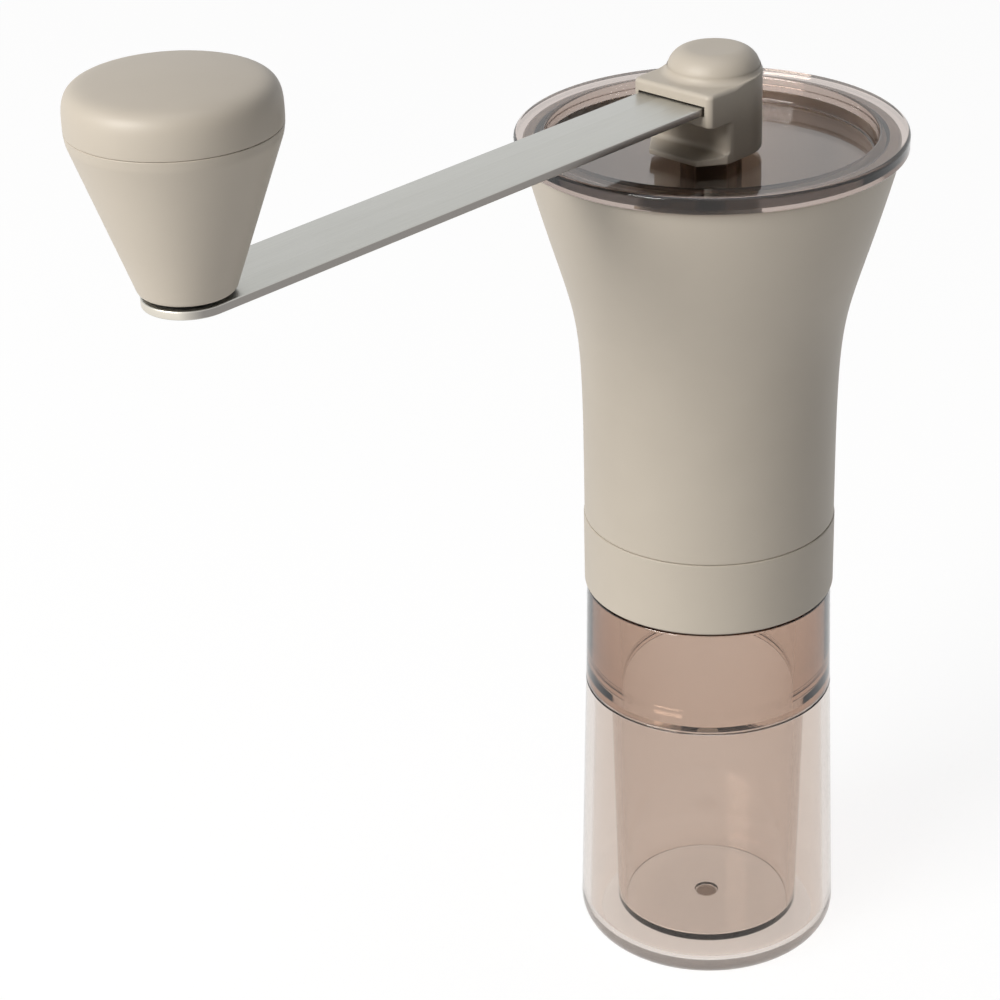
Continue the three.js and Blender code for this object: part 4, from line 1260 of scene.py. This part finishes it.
dome_middle = np.array([hub_back_radius - dome_step - dome_radius, 0.0])
bearing = np.arctan2(mouth[:, 1], mouth[:, 0] - dome_middle[0])
dome_spokes = around(dome_radius, bearing)
dome = dome_middle + dome_spokes
shelf_gap = np.linalg.norm(mouth - dome, axis=1)
edge = np.minimum(hub_edge, 0.45 * shelf_gap)


def shelf_height(distance):
    """The shelf's height at a distance from the dome: flat, then a quarter circle that climbs to the dome."""
    near = np.clip(hub_fillet - distance, 0, hub_fillet)
    return shelf_top + hub_fillet - np.sqrt(hub_fillet**2 - near**2)


brim = shelf_height(shelf_gap - edge)
edge_rows = [between(mouth, dome, edge * risen, brim - edge * left) for left, risen in hub_bend]
shelf_rows = [
    between(mouth, dome, edge + (shelf_gap - edge) * share, shelf_height((shelf_gap - edge) * (1 - share)))
    for share in 1 - np.linspace(1, 0, 22) ** 1.5
]
dome_rows = [
    lifted(dome_middle + dome_spokes * (1 - dome_round / dome_radius * risen), hub_top - dome_round * left)
    for left, risen in bend(14)
]
dome_rows += [lifted(dome_middle + dome_spokes * share, hub_top) for share in (0.48, 0.2, 0.0)]

# The socket, from its roof down to the foot: a hexagon, then a round bore.
socket_top = shaft_top + touch_gap
socket_foot = hex_bottom + hex_gap
spoke = np.arctan2(tongue[:, 1], tongue[:, 0])
hexagon_row = around(hexagon(2 * hex_radius * math.cos(TURN / 12), spoke), spoke)
bore_row = around(shaft_radius + hex_gap, spoke)
socket_rows = [
    lifted(hexagon_row * 0, socket_top),
    lifted(hexagon_row, socket_top),
    lifted(hexagon_row, socket_foot),
    lifted(bore_row, socket_foot),
    lifted(bore_row, hub_foot),
]
hub_rows = socket_rows + foot_rows + tongue_rows + neck_rows + jaw_rows + edge_rows + shelf_rows + dome_rows
hub_solid = mesh_of("hub", [np.stack(hub_rows)])

slot_half = arm_half + slot_play[0]
slot_mouth = -mouth_reach - 5
slot_ends = [
    (slot_mouth, -slot_half, 0),
    (slot_half, -slot_half, slot_half),
    (slot_half, slot_half, slot_half),
    (slot_mouth, slot_half, 0),
]
slot_solid = mesh_of("slot", *prism(rounded(slot_ends, 12), arm_foot - slot_play[1], arm_top + slot_play[2]))
add_piece("hub", cut(hub_solid, slot_solid), abs_plastic, "crank", "crank_hub")

# -------- knob rivet, washer and ring
# The knob turns on a stainless steel rivet, headed under the bar, between a thin black acetal washer and a
# push-on spring ring inside the knob.

rivet_crown = 0.7
rivet_crown_radius = 1.6

rivet_radius, rivet_foot, rivet_top = extent("knob_axle", axis=1)
rivet_corners = [
    (0, rivet_foot, 0),
    (rivet_crown_radius, rivet_foot, 1.2),
    (rivet_radius, rivet_foot + rivet_crown, 0.3),
    (rivet_radius, arm_foot - touch_gap, 0.1),
    (axle_radius, arm_foot - touch_gap, 0.1),
    (axle_radius, rivet_top, 0.4),
    (0, rivet_top, 0),
]
axle_bore = axle_radius + running_gap
shim = washer("knob_washer", axle_bore, 0.15, knob_spot)
spring_ring = washer("knob_clip", axle_radius + touch_gap, 0.2, knob_spot)
add_piece("rivet", [turned(rivet_corners, 5, 96, knob_spot)], turned_steel, "crank", "knob_axle")
add_piece("knob_shim", [shim], acetal, "crank", "knob_washer")
add_piece("push_on_ring", [spring_ring], turned_steel, "crank", "knob_clip")

# -------- knob
# The knob, two greige ABS mouldings pressed together, a hollow cone and a domed cap, that turn on the steel
# rivet at the end of the bar, over the thin black washer and under the push-on ring.

knob_facets = 224
knob_foot_radius = 8.05
seam_radius = 17.5
shoulder_height = 1.7
shoulder_inset = 0.25
knob_wall = 1.5
knob_floor = 2.4
tube_wall = 1.66
tube_gap = 0.1
plug_depth = 3.0
cap_side = 0.4
cap_round = 5.7
cap_squareness = 4.0
cap_crown = 1.3
seam_edge = 0.18
plug_gap = 0.1
plug_wall = 1.4
plug_dish = 2.0

_, knob_foot, knob_top = extent("knob_body")
_, plug_foot, cap_top = extent("knob_cap")
cap_rim = knob_top + touch_gap
shoulder_radius = seam_radius - shoulder_inset
mouth_radius = shoulder_radius - knob_wall
slant = (shoulder_radius - knob_foot_radius) / (knob_top - knob_foot - shoulder_height)
mouth_low = knob_top - plug_depth - plug_gap
floor_level = knob_foot + knob_floor
tube_radius = axle_radius + tube_wall
tube_top = extent("knob_clip")[1] - tube_gap


def cone(height):
    """Outer radius of the knob's cone at a height."""
    return knob_foot_radius + slant * (height - knob_foot)


knob_corners = [
    (axle_bore, knob_foot, 0.1),
    (knob_foot_radius, knob_foot, 1.0),
    (cone(knob_top - shoulder_height), knob_top - shoulder_height, 5.0),
    (seam_radius, knob_top, seam_edge),
    (mouth_radius, knob_top, 0.1),
    (mouth_radius, mouth_low, 0.1),
    (cone(mouth_low) - knob_wall, mouth_low, 0.1),
    (cone(floor_level) - knob_wall, floor_level, 0.6),
    (tube_radius, floor_level, 0.3),
    (tube_radius, tube_top, 0.2),
    (axle_bore, tube_top, 0.1),
]
add_piece("knob_cone", [turned(knob_corners, 8, knob_facets, knob_spot)], abs_plastic, "knob", "knob_body")

# The cap is a squarish curve, |x|^n + |z|^n = 1 over its rounding, with a shallow crown 1 - (r / R)^2 added.
cap_angle = np.linspace(0, TURN / 4, 40)
cap_shoulder = seam_radius - cap_round
cap_rise = cap_top - cap_crown - cap_rim - cap_side
cap_reach = np.append(
    cap_shoulder + cap_round * np.cos(cap_angle).clip(0) ** (2 / cap_squareness),
    cap_shoulder * np.linspace(1, 0, 12)[1:],
)
cap_lift = np.append(np.sin(cap_angle) ** (2 / cap_squareness), np.ones(11))
crown = cap_crown * (1 - (cap_reach / seam_radius) ** 2)
plug = mouth_radius - plug_gap
plug_bore = plug - plug_wall
cap_profile = np.vstack([
    [(0, cap_top - knob_wall), (plug_bore, cap_rim + plug_dish), (plug_bore, plug_foot)],
    [(plug, plug_foot), (plug, cap_rim), (seam_radius - seam_edge, cap_rim)],
    [(seam_radius - touch_gap, cap_rim + seam_edge * 0.4)],
    np.column_stack([cap_reach, cap_rim + cap_side + cap_rise * cap_lift + crown]),
])
add_piece("knob_cap_dome", [lathe(cap_profile, knob_facets, knob_spot)], abs_plastic, "knob", "knob_cap")
